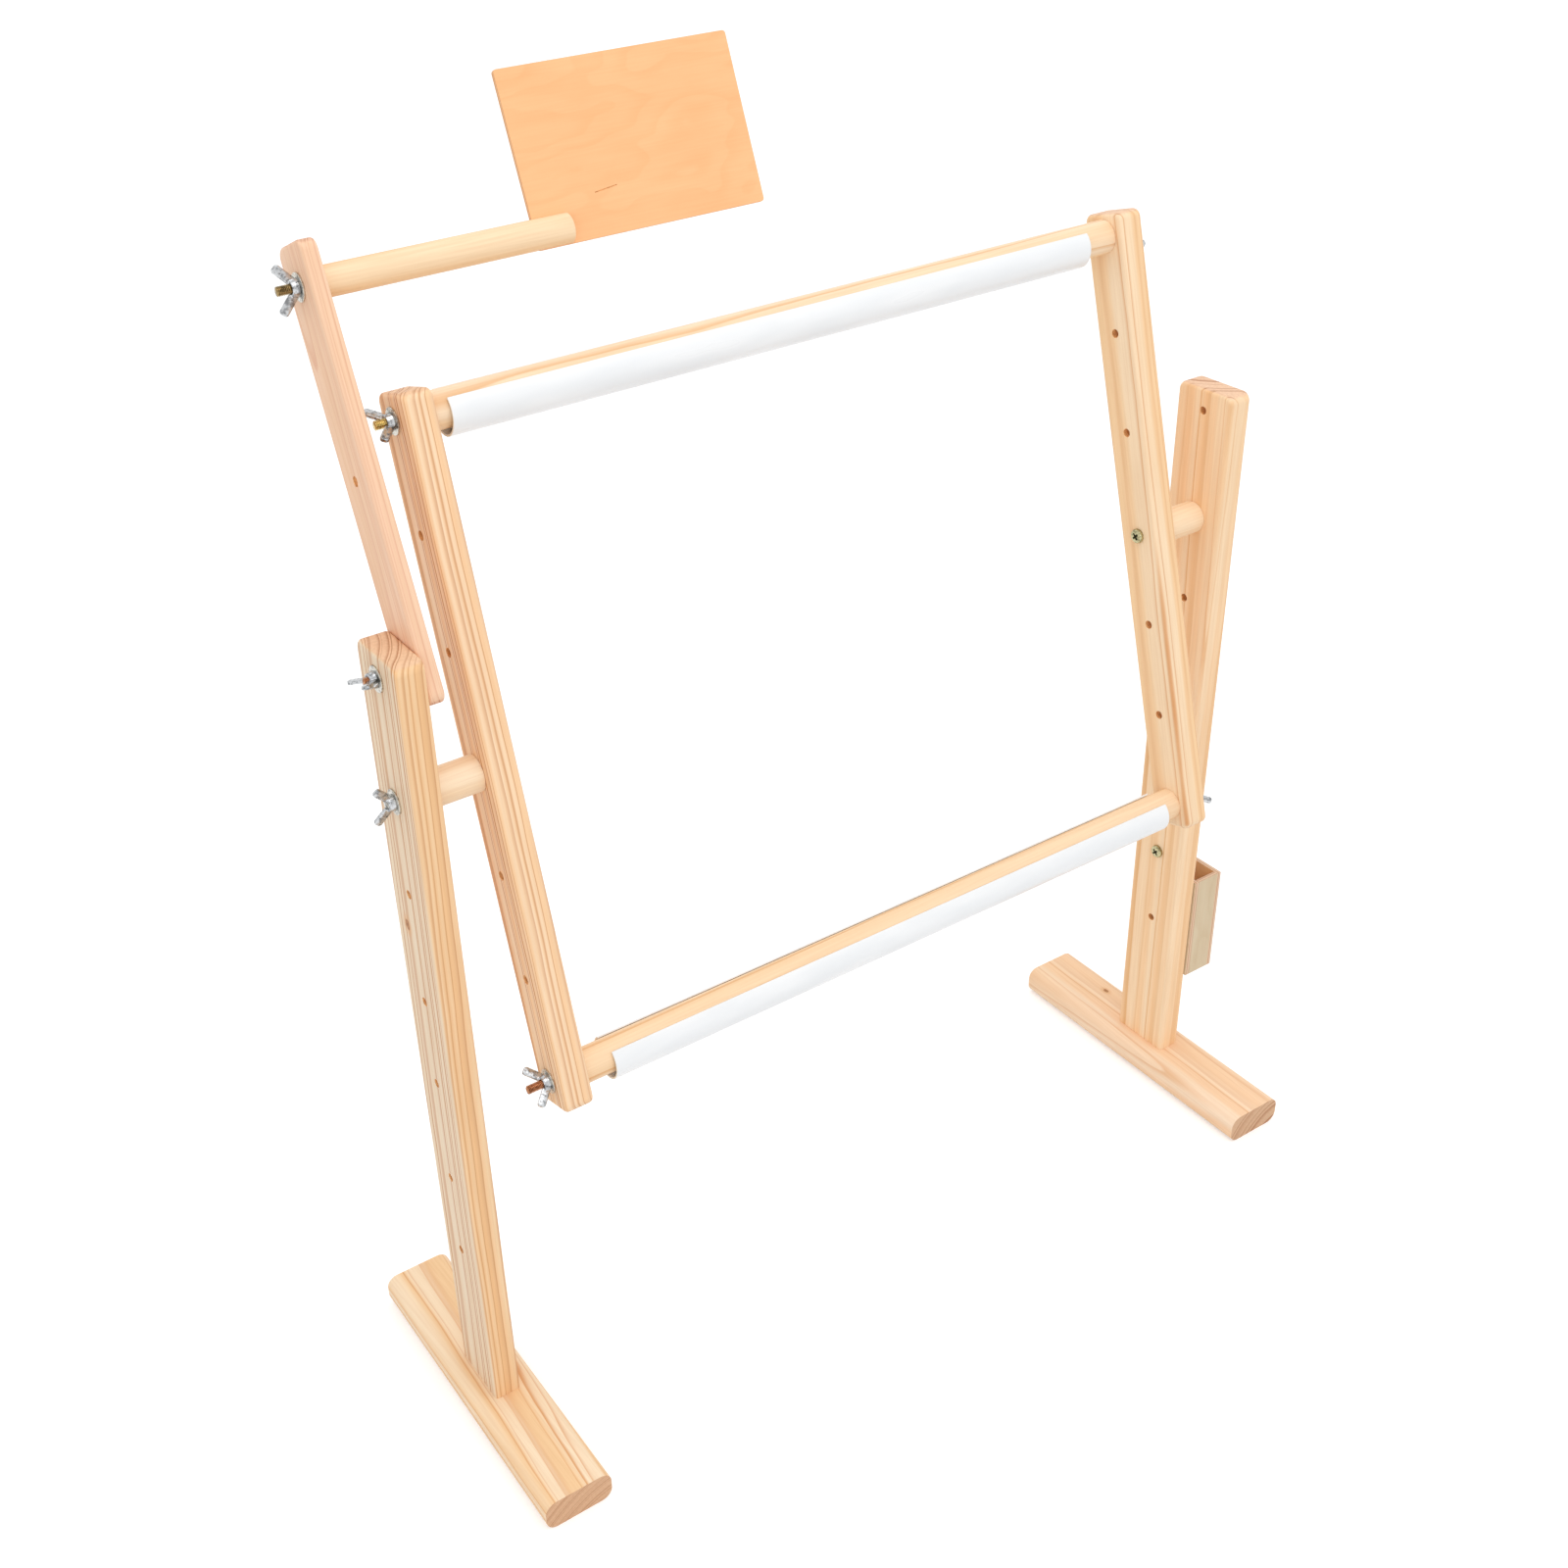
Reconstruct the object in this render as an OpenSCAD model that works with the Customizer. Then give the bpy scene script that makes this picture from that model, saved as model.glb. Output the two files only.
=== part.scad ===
// Embroidery frame stand: two floor legs carry a tilting frame with two cloth rollers.
// A small board on the left leg holds the pattern, and a small open box hangs on the right leg.
// Millimetres. X runs across the stand to the right, Y to the back, Z up.
// The origin lies on the floor, midway between the legs, below the axis on which the frame tilts.

/* [Stand] */
// distance over the outer faces of the two posts
stand_span = 690; // [560:1:900]
// thickness of a post, across the stand
post_thick = 20.5; // [16:0.5:30]
// depth of a post, front to back
post_deep = 52.5; // [42:0.5:70]
// height of the top of the posts above the floor
post_top = 635.5; // [600:0.5:800]
// rounding of the long edges of a post
post_edge_r = 3; // [1:0.5:6]
// rounding of the front and back corners at the top of a post
post_corner_r = 7; // [2:0.5:12]
// first hole of a post, below its top
post_hole_drop = 17; // [12:0.5:24]
// spacing of the holes in each of the two rows of a post
post_hole_pitch = 154; // [130:1:165]
// start of the second row of holes, below the start of the first row
post_row_offset = 85; // [70:1:100]

/* [Feet] */
// length of a foot, front to back
foot_long = 256; // [200:1:340]
// width of a foot
foot_wide = 53; // [44:1:70]
// height of a foot
foot_high = 25; // [20:0.5:34]
// rounding of the long edges of a foot
foot_edge_r = 9; // [2:0.5:9.5]
// distance between the two screws that hold a post on its foot
foot_screw_gap = 28; // [20:1:34]
// diameter of a foot screw
foot_screw_d = 4.5; // [4:0.5:6]
// length of a foot screw
foot_screw_long = 50; // [42:1:70]

/* [Frame] */
// tilt of the frame, top edge leaning back
frame_tilt = 15.2; // [0:0.1:35]
// thickness of a frame arm, across the stand
arm_thick = 21; // [16:0.5:24]
// depth of a frame arm, across its length
arm_deep = 36; // [28:0.5:44]
// length of a frame arm above its pivot hole
arm_up = 236; // [200:1:240]
// length of a frame arm below its pivot hole
arm_down = 236; // [200:1:242]
// rounding of the long edges of a frame arm
arm_edge_r = 3; // [1:0.5:7]
// rounding of the four corners of a frame arm
arm_corner_r = 6; // [2:0.5:12]
// top roller hole, down from the upper end of an arm
arm_hole_in = 16; // [12:0.5:20]
// bottom roller hole, up from the lower end of an arm
arm_low_hole_in = 19.5; // [14:0.5:26]
// first spare hole of an arm above the pivot hole
arm_hole_up = 78; // [60:1:90]
// first spare hole of an arm below the pivot hole
arm_hole_down = 70; // [60:1:90]
// spacing of the spare holes of an arm
arm_hole_pitch = 73; // [60:1:90]
// length of the round spacer between a post and a frame arm
spacer_long = 35; // [30:1:60]
// diameter of the round spacer
spacer_d = 24.5; // [20:0.5:32]

/* [Rollers and cloth clips] */
// diameter of a cloth roller
roller_d = 24; // [20:0.5:30]
// radius of the hollow of a clip, over the radius of the roller
clip_play = 1.7; // [1:0.1:2.5]
// wall of a clip
clip_wall = 1.5; // [1:0.1:2.5]
// half of the opening of a clip, measured from straight up
clip_open = 42; // [30:1:60]
// amount by which a clip is shorter than its roller
clip_short = 36; // [30:1:80]
// shift of the top clip off the middle of its roller
top_clip_shift = -8; // [-10:0.5:10]
// shift of the bottom clip off the middle of its roller
bottom_clip_shift = 3.5; // [-10:0.5:10]

/* [Pattern holder] */
// tilt of the pattern holder, leaning back
pattern_tilt = 22; // [0:0.5:60]
// thickness of the arm of the pattern holder
pattern_arm_thick = 10.5; // [9:0.5:14]
// depth of the arm of the pattern holder
pattern_arm_deep = 39; // [30:0.5:46]
// length of the arm above its pivot hole
pattern_arm_up = 248; // [240:1:300]
// length of the arm below its pivot hole
pattern_arm_down = 23; // [16:1:40]
// dowel hole of the arm, down from its upper end
pattern_hole_in = 24; // [14:0.5:30]
// play between the arm and the post that it swings on
pattern_play = 0.05; // [0.02:0.01:0.2]
// diameter of the dowel that carries the board
pattern_dowel_d = 18.5; // [15:0.5:24]
// length of the dowel
pattern_dowel_long = 164; // [100:1:220]
// length of the sawn slot in the dowel that grips the board
pattern_kerf_long = 23.5; // [15:0.5:40]
// width of the board
board_wide = 164; // [120:1:220]
// height of the board
board_high = 106; // [80:1:140]
// thickness of the board
board_thick = 3; // [2:0.25:5]
// depth of the board's lower edge below the dowel's axis
board_below = 9.5; // [4:0.5:20]
// rounding of the corners of the board
board_corner_r = 1.5; // [0.5:0.5:8]

/* [Storage box] */
// depth of the box, out from the post
box_out = 30; // [24:0.5:60]
// width of the box, front to back
box_wide = 54; // [44:1:80]
// height of the box
box_high = 98; // [60:1:140]
// thickness of the box panels
box_wall = 4; // [3:0.5:6]
// rim of the box, below its hanging hole
box_rim_drop = 27.5; // [22:0.5:40]
// width of the hanging tab
box_tab_wide = 40; // [28:1:44]
// height of the hanging tab above its hole
box_tab_up = 18; // [12:0.5:24]

/* [Screws, washers and wing nuts] */
// diameter of the machine screws and studs
screw_d = 6; // [5:0.5:7]
// radial clearance of a screw in its hole
hole_fit = 0.08; // [0.05:0.01:0.1]
// amount by which the pilot hole of a wood thread is smaller than its screw
pilot_bite = 0.8; // [0.4:0.1:1.2]
// diameter of a screw head
head_d = 11; // [10:0.5:14]
// height of a screw head
head_high = 3.25; // [2.5:0.25:5]
// diameter of a washer
washer_d = 17; // [14:0.5:22]
// thickness of a washer
washer_thick = 1.2; // [0.8:0.1:2]
// diameter of a wing nut's hub at its base
hub_d = 11; // [10:0.5:14]
// height of a wing nut's hub
hub_high = 4.5; // [3.5:0.5:8]
// height of a wing nut over its wings
wing_high = 13; // [11:0.5:18]
// span of a wing nut over its wings
wing_span = 29; // [24:0.5:34]
// width of a wing
wing_wide = 5.5; // [4:0.25:7]
// angle at which the wings rise from the base
wing_rise = 43; // [35:1:60]
// rounding of the corners of a wing's tip
wing_tip_r = 1.8; // [1:0.1:2]
// thickness of a wing
wing_thick = 2.3; // [1.5:0.1:3]
// length of the frame's pivot screws past the outer face of their posts
pivot_screw_out = 5.5; // [5:0.5:14]
// length of the pattern holder's pivot screw past the outer face of its post
pattern_screw_out = 8.5; // [6:0.5:14]
// length of the box screw past the back panel of the box
box_screw_out = 8; // [6:0.5:12]
// length of the top left stud past the outer face of its arm
top_left_stud_out = 12.5; // [8:0.5:20]
// length of the bottom left stud past the outer face of its arm
bottom_left_stud_out = 16.5; // [8:0.5:20]
// length of the two right studs past the outer face of their arm
right_stud_out = 12.5; // [8:0.5:20]
// length of the dowel stud past the outer face of the pattern arm
dowel_stud_out = 14; // [8:0.5:20]
// length of a stud in the end of its roller
stud_in = 32; // [20:1:45]
// length of the dowel stud in the end of the dowel
dowel_stud_in = 26; // [18:1:40]

/* [Wing nuts at rest] */
// angle of the left frame pivot nut's wings, up from the front-to-back line
left_pivot_nut_turn = 102; // [0:1:180]
// the same for the right frame pivot nut
right_pivot_nut_turn = 70; // [0:1:180]
// the same for the top left roller nut
top_left_nut_turn = 23; // [0:1:180]
// the same for the top right roller nut
top_right_nut_turn = 60; // [0:1:180]
// the same for the bottom left roller nut
bottom_left_nut_turn = 38; // [0:1:180]
// the same for the bottom right roller nut
bottom_right_nut_turn = 20; // [0:1:180]
// the same for the pattern holder's pivot nut
pattern_pivot_nut_turn = 164; // [0:1:180]
// the same for the pattern dowel's nut
pattern_dowel_nut_turn = 81; // [0:1:180]
// the same for the box nut
box_nut_turn = 85; // [0:1:180]

/* [Hidden] */
$fn = 40;

// faces across the stand, as distances from the middle
post_out = stand_span / 2;
post_in = post_out - post_thick;
arm_out = post_in - spacer_long;
arm_in = arm_out - arm_thick;
leg_mid = post_out - post_thick / 2;

// holes of a post, as heights above the floor
row_one = [for (k = [0 : 3]) post_top - post_hole_drop - k * post_hole_pitch];
row_two = [for (k = [0 : 2]) row_one[0] - post_row_offset - k * post_hole_pitch];
pattern_z = row_one[0];
pivot_z = row_two[0];
box_z = row_two[2];

// places along a frame arm, up from its pivot
top_at = arm_up - arm_hole_in;
bottom_at = arm_low_hole_in - arm_down;
arm_spares = [
    arm_hole_up + arm_hole_pitch, arm_hole_up, -arm_hole_down, -arm_hole_down - arm_hole_pitch
];

// holes, rollers and clips
hole_r = screw_d / 2 + hole_fit;
pilot_r = (screw_d - pilot_bite) / 2;
foot_pilot_r = foot_screw_d / 2 - 0.5;
foot_hole_r = foot_screw_d / 2 + 0.25;
foot_head_r = foot_screw_d;
roller_long = 2 * arm_in;
clip_long = roller_long - clip_short;
clip_in_r = roller_d / 2 + clip_play;
clip_mid_r = clip_in_r + clip_wall / 2;
lip_gap = 0.3;
lip_reach = roller_d / 2 + lip_gap + clip_wall / 2;
clip_drop = clip_mid_r * cos(clip_open) - sqrt(pow(lip_reach, 2) - pow(clip_mid_r * sin(clip_open), 2));

// pattern holder, from the faces of its arm to the holes along it
pattern_out = post_in - pattern_play;
pattern_in = -pattern_out + pattern_arm_thick;
pattern_hole_top = pattern_arm_up - pattern_hole_in;
pattern_hole_mid = pattern_hole_top / 2;
dowel_end = pattern_in + pattern_dowel_long;
board_start = dowel_end - pattern_kerf_long;
kerf_fit = 0.05;

// storage box
box_rim = box_z - box_rim_drop;
box_floor = box_rim - box_high;
box_front_y = box_wide / 2;

// a rectangle with four round corners, centred
module round_rect(w, h, r) {
    square([w - 2 * r, h], center = true);
    square([w, h - 2 * r], center = true);
    for (sx = [-1, 1], sy = [-1, 1]) {
        translate([sx * (w / 2 - r), sy * (h / 2 - r)])
            circle(r = r);
    }
}

// a rail along Z from z0 to z1, with rounded long edges and rounded corners seen from the side
module rail(thick, deep, z0, z1, edge_r, corner_r) {
    intersection() {
        translate([0, 0, z0])
            linear_extrude(height = z1 - z0)
                round_rect(thick, deep, edge_r);
        translate([-thick, 0, (z0 + z1) / 2])
            rotate([90, 0, 90])
                linear_extrude(height = 2 * thick)
                    round_rect(deep, z1 - z0, corner_r);
    }
}

// a round bar or bore along X, from x0 to x1
module along_x(r, x0, x1) {
    translate([x0, 0, 0])
        rotate([0, 90, 0])
            cylinder(r = r, h = x1 - x0);
}

// turns a piece that points to the right round to point to the left
module side(s) {
    rotate([0, 0, s > 0 ? 0 : 180])
        children();
}

// places a piece in the frame, with its pivot at the piece's origin
module in_frame(along = 0) {
    translate([0, 0, pivot_z])
        rotate([-frame_tilt, 0, 0])
            translate([0, 0, along])
                children();
}

// places a piece in the pattern holder, with its pivot at the piece's origin
module in_pattern(along = 0) {
    translate([0, 0, pattern_z])
        rotate([-pattern_tilt, 0, 0])
            translate([0, 0, along])
                children();
}

module zinc() {
    color([0.78, 0.79, 0.80])
        children();
}

module yellow_zinc() {
    color([0.80, 0.66, 0.42])
        children();
}

module pine() {
    color([0.93, 0.80, 0.63])
        children();
}

module ply() {
    color([0.82, 0.74, 0.62])
        children();
}

// a pan head screw along +X, with the face under its head at x = 0
module machine_screw(long) {
    dome = 0.6 * head_high;
    recess = 0.55 * head_high;
    difference() {
        union() {
            rotate([0, -90, 0])
                rotate_extrude($fn = 48) {
                    square([head_d / 2 - dome, head_high]);
                    square([head_d / 2, head_high - dome]);
                    intersection() {
                        translate([head_d / 2 - dome, head_high - dome])
                            circle(r = dome);
                        square([head_d, head_high]);
                    }
                }
            along_x(screw_d / 2, -0.5, long);
        }
        for (turn = [45, 135]) {
            rotate([turn, 0, 0])
                translate([-head_high - 1, -0.6, -0.3 * head_d])
                    cube([recess + 1, 1.2, 0.6 * head_d]);
        }
    }
}

// a stud along +X, with the end of its roller at x = 0
module stud(inside, out) {
    along_x(screw_d / 2, -inside, out);
}

// a washer along +X, with the face that it lies on at x = 0
module washer() {
    difference() {
        along_x(washer_d / 2, 0, washer_thick);
        along_x(hole_r, -1, washer_thick + 1);
    }
}

// the outline of one wing: distance from the nut's axis, height above its base
module wing_outline() {
    half = wing_wide / 2;
    tip_reach = (half - wing_tip_r) * (sin(wing_rise) + cos(wing_rise)) + wing_tip_r;
    tip = [wing_span / 2 - tip_reach, wing_high - tip_reach];
    root = tip - (tip[0] - hub_d / 2 + 2) / cos(wing_rise) * [cos(wing_rise), sin(wing_rise)];
    long = norm(tip - root) + wing_wide;
    translate((tip + root) / 2)
        rotate(wing_rise)
            round_rect(long, wing_wide, wing_tip_r);
}

// a wing nut along +X, with its base at x = 0 and its wings along Y
module wing_nut() {
    difference() {
        union() {
            rotate([0, 90, 0])
                cylinder(r1 = hub_d / 2, r2 = hub_d / 2 - 0.8, h = hub_high);
            intersection() {
                for (turn = [0, 180]) {
                    rotate([turn, 0, 0])
                        translate([0, 0, -wing_thick / 2])
                            linear_extrude(height = wing_thick)
                                rotate(90)
                                    mirror([0, 1])
                                        wing_outline();
                }
                along_x(wing_span, 0.4, 2 * wing_high);
            }
        }
        along_x(hole_r, -1, wing_high + 1);
    }
}

module foot(s) {
    pine()
        difference() {
            translate([s * leg_mid, 0, foot_high / 2])
                rotate([90, 0, 0])
                    linear_extrude(height = foot_long, center = true)
                        round_rect(foot_wide, foot_high, foot_edge_r);
            for (y = [-0.5, 0.5]) {
                translate([s * leg_mid, y * foot_screw_gap, 0]) {
                    translate([0, 0, -1])
                        cylinder(r = foot_hole_r, h = foot_high + 2, $fn = 24);
                    translate([0, 0, -0.01])
                        cylinder(r1 = foot_head_r + 0.4, r2 = foot_hole_r, h = 3, $fn = 32);
                }
            }
        }
}

module foot_screw(s, y) {
    zinc()
        translate([s * leg_mid, y * foot_screw_gap, 0.4]) {
            cylinder(r1 = foot_head_r, r2 = foot_screw_d / 2, h = 2.5, $fn = 32);
            cylinder(r = foot_screw_d / 2, h = foot_screw_long - 4, $fn = 24);
            translate([0, 0, foot_screw_long - 4])
                cylinder(r1 = foot_screw_d / 2, r2 = 0.4, h = 4, $fn = 24);
        }
}

module post(s) {
    pine()
        difference() {
            translate([s * leg_mid, 0, 0])
                intersection() {
                    rail(post_thick, post_deep, foot_high - 40, post_top, post_edge_r, post_corner_r);
                    translate([-post_thick, -post_deep, foot_high])
                        cube([2 * post_thick, 2 * post_deep, post_top]);
                }
            for (z = concat(row_one, row_two)) {
                translate([s * leg_mid, 0, z])
                    along_x(hole_r, -post_thick, post_thick);
            }
            for (y = [-0.5, 0.5]) {
                translate([s * leg_mid, y * foot_screw_gap, foot_high - 1])
                    cylinder(r = foot_pilot_r, h = foot_screw_long - foot_high + 3, $fn = 24);
            }
        }
}

module spacer(s) {
    pine()
        translate([0, 0, pivot_z])
            side(s)
                difference() {
                    along_x(spacer_d / 2, arm_out, post_in);
                    along_x(hole_r, arm_out - 1, post_in + 1);
                }
}

module pivot_bolt(s) {
    yellow_zinc()
        translate([0, 0, pivot_z])
            side(s)
                translate([arm_in, 0, 0])
                    machine_screw(post_out - arm_in + pivot_screw_out);
}

module pivot_washer(s) {
    zinc()
        translate([0, 0, pivot_z])
            side(s)
                translate([post_out, 0, 0])
                    washer();
}

module pivot_nut(s, turn) {
    zinc()
        translate([s * (post_out + washer_thick), 0, pivot_z])
            rotate([turn, 0, 0])
                side(s)
                    wing_nut();
}

module arm(s) {
    pine()
        in_frame()
            difference() {
                translate([s * (arm_in + arm_thick / 2), 0, 0])
                    rail(arm_thick, arm_deep, -arm_down, arm_up, arm_edge_r, arm_corner_r);
                for (z = concat([0, top_at, bottom_at], arm_spares)) {
                    translate([0, 0, z])
                        side(s)
                            along_x(hole_r, arm_in - 1, arm_out + 1);
                }
            }
}

module roller(along) {
    pine()
        in_frame(along)
            difference() {
                along_x(roller_d / 2, -arm_in, arm_in, $fn = 60);
                for (s = [-1, 1]) {
                    side(s)
                        along_x(pilot_r, arm_in - stud_in - 1, arm_in + 1);
                }
            }
}

module roller_stud(s, along, out) {
    yellow_zinc()
        in_frame(along)
            side(s)
                translate([arm_in, 0, 0])
                    stud(stud_in, arm_thick + out);
}

module roller_washer(s, along) {
    zinc()
        in_frame(along)
            side(s)
                translate([arm_out, 0, 0])
                    washer();
}

module roller_nut(s, along, turn) {
    zinc()
        in_frame(along)
            translate([s * (arm_out + washer_thick), 0, 0])
                rotate([turn + frame_tilt, 0, 0])
                    side(s)
                        wing_nut();
}

// an open plastic channel, hanging with its two lips on the roller
module clip(along, shift) {
    color([0.95, 0.95, 0.95])
        translate([shift, along * sin(frame_tilt), pivot_z + along * cos(frame_tilt) - clip_drop])
            rotate([90, 0, 90])
                linear_extrude(height = clip_long, center = true, $fn = 72) {
                    difference() {
                        circle(r = clip_in_r + clip_wall);
                        circle(r = clip_in_r);
                        polygon([
                            [0, 0],
                            [-2 * clip_in_r * sin(clip_open), 2 * clip_in_r * cos(clip_open)],
                            [0, 3 * clip_in_r],
                            [2 * clip_in_r * sin(clip_open), 2 * clip_in_r * cos(clip_open)]
                        ]);
                    }
                    for (h = [-1, 1]) {
                        translate([h * clip_mid_r * sin(clip_open), clip_mid_r * cos(clip_open)])
                            circle(r = clip_wall / 2, $fn = 20);
                    }
                }
}

module left_foot() {
    foot(-1);
}

module right_foot() {
    foot(1);
}

module left_post() {
    post(-1);
}

module right_post() {
    post(1);
}

module left_front_foot_screw() {
    foot_screw(-1, -0.5);
}

module left_rear_foot_screw() {
    foot_screw(-1, 0.5);
}

module right_front_foot_screw() {
    foot_screw(1, -0.5);
}

module right_rear_foot_screw() {
    foot_screw(1, 0.5);
}

module left_spacer() {
    spacer(-1);
}

module right_spacer() {
    spacer(1);
}

module left_pivot_bolt() {
    pivot_bolt(-1);
}

module right_pivot_bolt() {
    pivot_bolt(1);
}

module left_pivot_washer() {
    pivot_washer(-1);
}

module right_pivot_washer() {
    pivot_washer(1);
}

module left_pivot_nut() {
    pivot_nut(-1, left_pivot_nut_turn);
}

module right_pivot_nut() {
    pivot_nut(1, right_pivot_nut_turn);
}

module left_arm() {
    arm(-1);
}

module right_arm() {
    arm(1);
}

module top_roller() {
    roller(top_at);
}

module bottom_roller() {
    roller(bottom_at);
}

module top_left_stud() {
    roller_stud(-1, top_at, top_left_stud_out);
}

module top_right_stud() {
    roller_stud(1, top_at, right_stud_out);
}

module bottom_left_stud() {
    roller_stud(-1, bottom_at, bottom_left_stud_out);
}

module bottom_right_stud() {
    roller_stud(1, bottom_at, right_stud_out);
}

module top_left_washer() {
    roller_washer(-1, top_at);
}

module top_right_washer() {
    roller_washer(1, top_at);
}

module bottom_left_washer() {
    roller_washer(-1, bottom_at);
}

module bottom_right_washer() {
    roller_washer(1, bottom_at);
}

module top_left_nut() {
    roller_nut(-1, top_at, top_left_nut_turn);
}

module top_right_nut() {
    roller_nut(1, top_at, top_right_nut_turn);
}

module bottom_left_nut() {
    roller_nut(-1, bottom_at, bottom_left_nut_turn);
}

module bottom_right_nut() {
    roller_nut(1, bottom_at, bottom_right_nut_turn);
}

module top_clip() {
    clip(top_at, top_clip_shift);
}

module bottom_clip() {
    clip(bottom_at, bottom_clip_shift);
}

module pattern_arm() {
    color([0.93, 0.76, 0.62])
        in_pattern()
            difference() {
                translate([-pattern_out + pattern_arm_thick / 2, 0, 0])
                    rail(pattern_arm_thick, pattern_arm_deep, -pattern_arm_down, pattern_arm_up, 2, 7);
                for (z = [0, pattern_hole_mid, pattern_hole_top]) {
                    translate([0, 0, z])
                        along_x(hole_r, -pattern_out - 1, pattern_in + 1);
                }
            }
}

module pattern_pivot_bolt() {
    yellow_zinc()
        translate([0, 0, pattern_z])
            side(-1)
                translate([-pattern_in, 0, 0])
                    machine_screw(post_out + pattern_in + pattern_screw_out);
}

module pattern_pivot_washer() {
    zinc()
        translate([0, 0, pattern_z])
            side(-1)
                translate([post_out, 0, 0])
                    washer();
}

module pattern_pivot_nut() {
    zinc()
        translate([-post_out - washer_thick, 0, pattern_z])
            rotate([pattern_pivot_nut_turn, 0, 0])
                side(-1)
                    wing_nut();
}

module pattern_dowel() {
    pine()
        in_pattern(pattern_hole_top)
            difference() {
                along_x(pattern_dowel_d / 2, pattern_in, dowel_end);
                along_x(pilot_r, pattern_in - 1, pattern_in + dowel_stud_in + 1);
                translate([board_start - 0.5, -board_thick / 2 - kerf_fit, -pattern_dowel_d])
                    cube([pattern_kerf_long + 2, board_thick + 2 * kerf_fit, 2 * pattern_dowel_d]);
            }
}

module pattern_dowel_stud() {
    yellow_zinc()
        in_pattern(pattern_hole_top)
            side(-1)
                translate([-pattern_in, 0, 0])
                    stud(dowel_stud_in, pattern_arm_thick + dowel_stud_out);
}

module pattern_dowel_washer() {
    zinc()
        in_pattern(pattern_hole_top)
            side(-1)
                translate([pattern_out, 0, 0])
                    washer();
}

module pattern_dowel_nut() {
    zinc()
        in_pattern(pattern_hole_top)
            translate([-pattern_out - washer_thick, 0, 0])
                rotate([pattern_dowel_nut_turn + pattern_tilt, 0, 0])
                    side(-1)
                        wing_nut();
}

module pattern_board() {
    color([0.96, 0.78, 0.58])
        in_pattern(pattern_hole_top)
            translate([board_start + board_wide / 2, 0, board_high / 2 - board_below])
                rotate([90, 0, 0])
                    linear_extrude(height = board_thick, center = true)
                        round_rect(board_wide, board_high, board_corner_r);
}

// a panel of the storage box, from one corner to the other
module panel(from, to) {
    ply()
        translate(from)
            cube(to - from);
}

module box_back() {
    ply()
        difference() {
            union() {
                translate([post_out, -box_front_y, box_floor])
                    cube([box_wall, box_wide, box_high]);
                translate([post_out, -box_tab_wide / 2, box_rim - 1])
                    cube([box_wall, box_tab_wide, box_rim_drop + box_tab_up + 1]);
            }
            translate([0, 0, box_z])
                along_x(hole_r, post_out - 1, post_out + box_wall + 1);
        }
}

module box_outer() {
    panel(
        [post_out + box_out - box_wall, -box_front_y, box_floor],
        [post_out + box_out, box_front_y, box_rim]
    );
}

module box_front() {
    panel(
        [post_out + box_wall, -box_front_y, box_floor],
        [post_out + box_out - box_wall, -box_front_y + box_wall, box_rim]
    );
}

module box_rear() {
    panel(
        [post_out + box_wall, box_front_y - box_wall, box_floor],
        [post_out + box_out - box_wall, box_front_y, box_rim]
    );
}

module box_bottom() {
    panel(
        [post_out + box_wall, -box_front_y + box_wall, box_floor],
        [post_out + box_out - box_wall, box_front_y - box_wall, box_floor + box_wall]
    );
}

module box_bolt() {
    yellow_zinc()
        translate([post_in, 0, box_z])
            machine_screw(post_thick + box_wall + box_screw_out);
}

module box_washer() {
    zinc()
        translate([post_out + box_wall, 0, box_z])
            washer();
}

module box_nut() {
    zinc()
        translate([post_out + box_wall + washer_thick, 0, box_z])
            rotate([box_nut_turn, 0, 0])
                wing_nut();
}

left_foot();
right_foot();
left_post();
right_post();
left_front_foot_screw();
left_rear_foot_screw();
right_front_foot_screw();
right_rear_foot_screw();
left_spacer();
right_spacer();
left_pivot_bolt();
right_pivot_bolt();
left_pivot_washer();
right_pivot_washer();
left_pivot_nut();
right_pivot_nut();
left_arm();
right_arm();
top_roller();
bottom_roller();
top_left_stud();
top_right_stud();
bottom_left_stud();
bottom_right_stud();
top_left_washer();
top_right_washer();
bottom_left_washer();
bottom_right_washer();
top_left_nut();
top_right_nut();
bottom_left_nut();
bottom_right_nut();
top_clip();
bottom_clip();
pattern_arm();
pattern_pivot_bolt();
pattern_pivot_washer();
pattern_pivot_nut();
pattern_dowel();
pattern_dowel_stud();
pattern_dowel_washer();
pattern_dowel_nut();
pattern_board();
box_back();
box_outer();
box_front();
box_rear();
box_bottom();
box_bolt();
box_washer();
box_nut();
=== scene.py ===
# Embroidery frame stand in pale pine, with plywood, white plastic and plated steel.
# It follows the stand as it is put together: room, legs, frame, rollers, pattern holder, box.

import math

import bmesh
import bpy
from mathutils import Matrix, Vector


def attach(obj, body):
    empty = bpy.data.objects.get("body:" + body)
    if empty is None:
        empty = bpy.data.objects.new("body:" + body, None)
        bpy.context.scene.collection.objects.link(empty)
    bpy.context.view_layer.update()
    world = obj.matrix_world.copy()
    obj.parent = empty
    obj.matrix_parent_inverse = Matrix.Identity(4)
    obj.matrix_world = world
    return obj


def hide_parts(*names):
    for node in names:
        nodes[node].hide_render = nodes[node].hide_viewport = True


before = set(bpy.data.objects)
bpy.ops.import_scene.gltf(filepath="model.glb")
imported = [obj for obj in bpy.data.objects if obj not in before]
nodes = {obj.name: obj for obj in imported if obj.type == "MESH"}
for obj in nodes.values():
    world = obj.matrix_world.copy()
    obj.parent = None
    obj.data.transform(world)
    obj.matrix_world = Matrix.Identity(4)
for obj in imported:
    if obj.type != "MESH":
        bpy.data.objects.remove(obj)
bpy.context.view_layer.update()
bpy.ops.object.select_all(action="DESELECT")
bpy.context.scene.view_settings.view_transform = "Standard"


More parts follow.
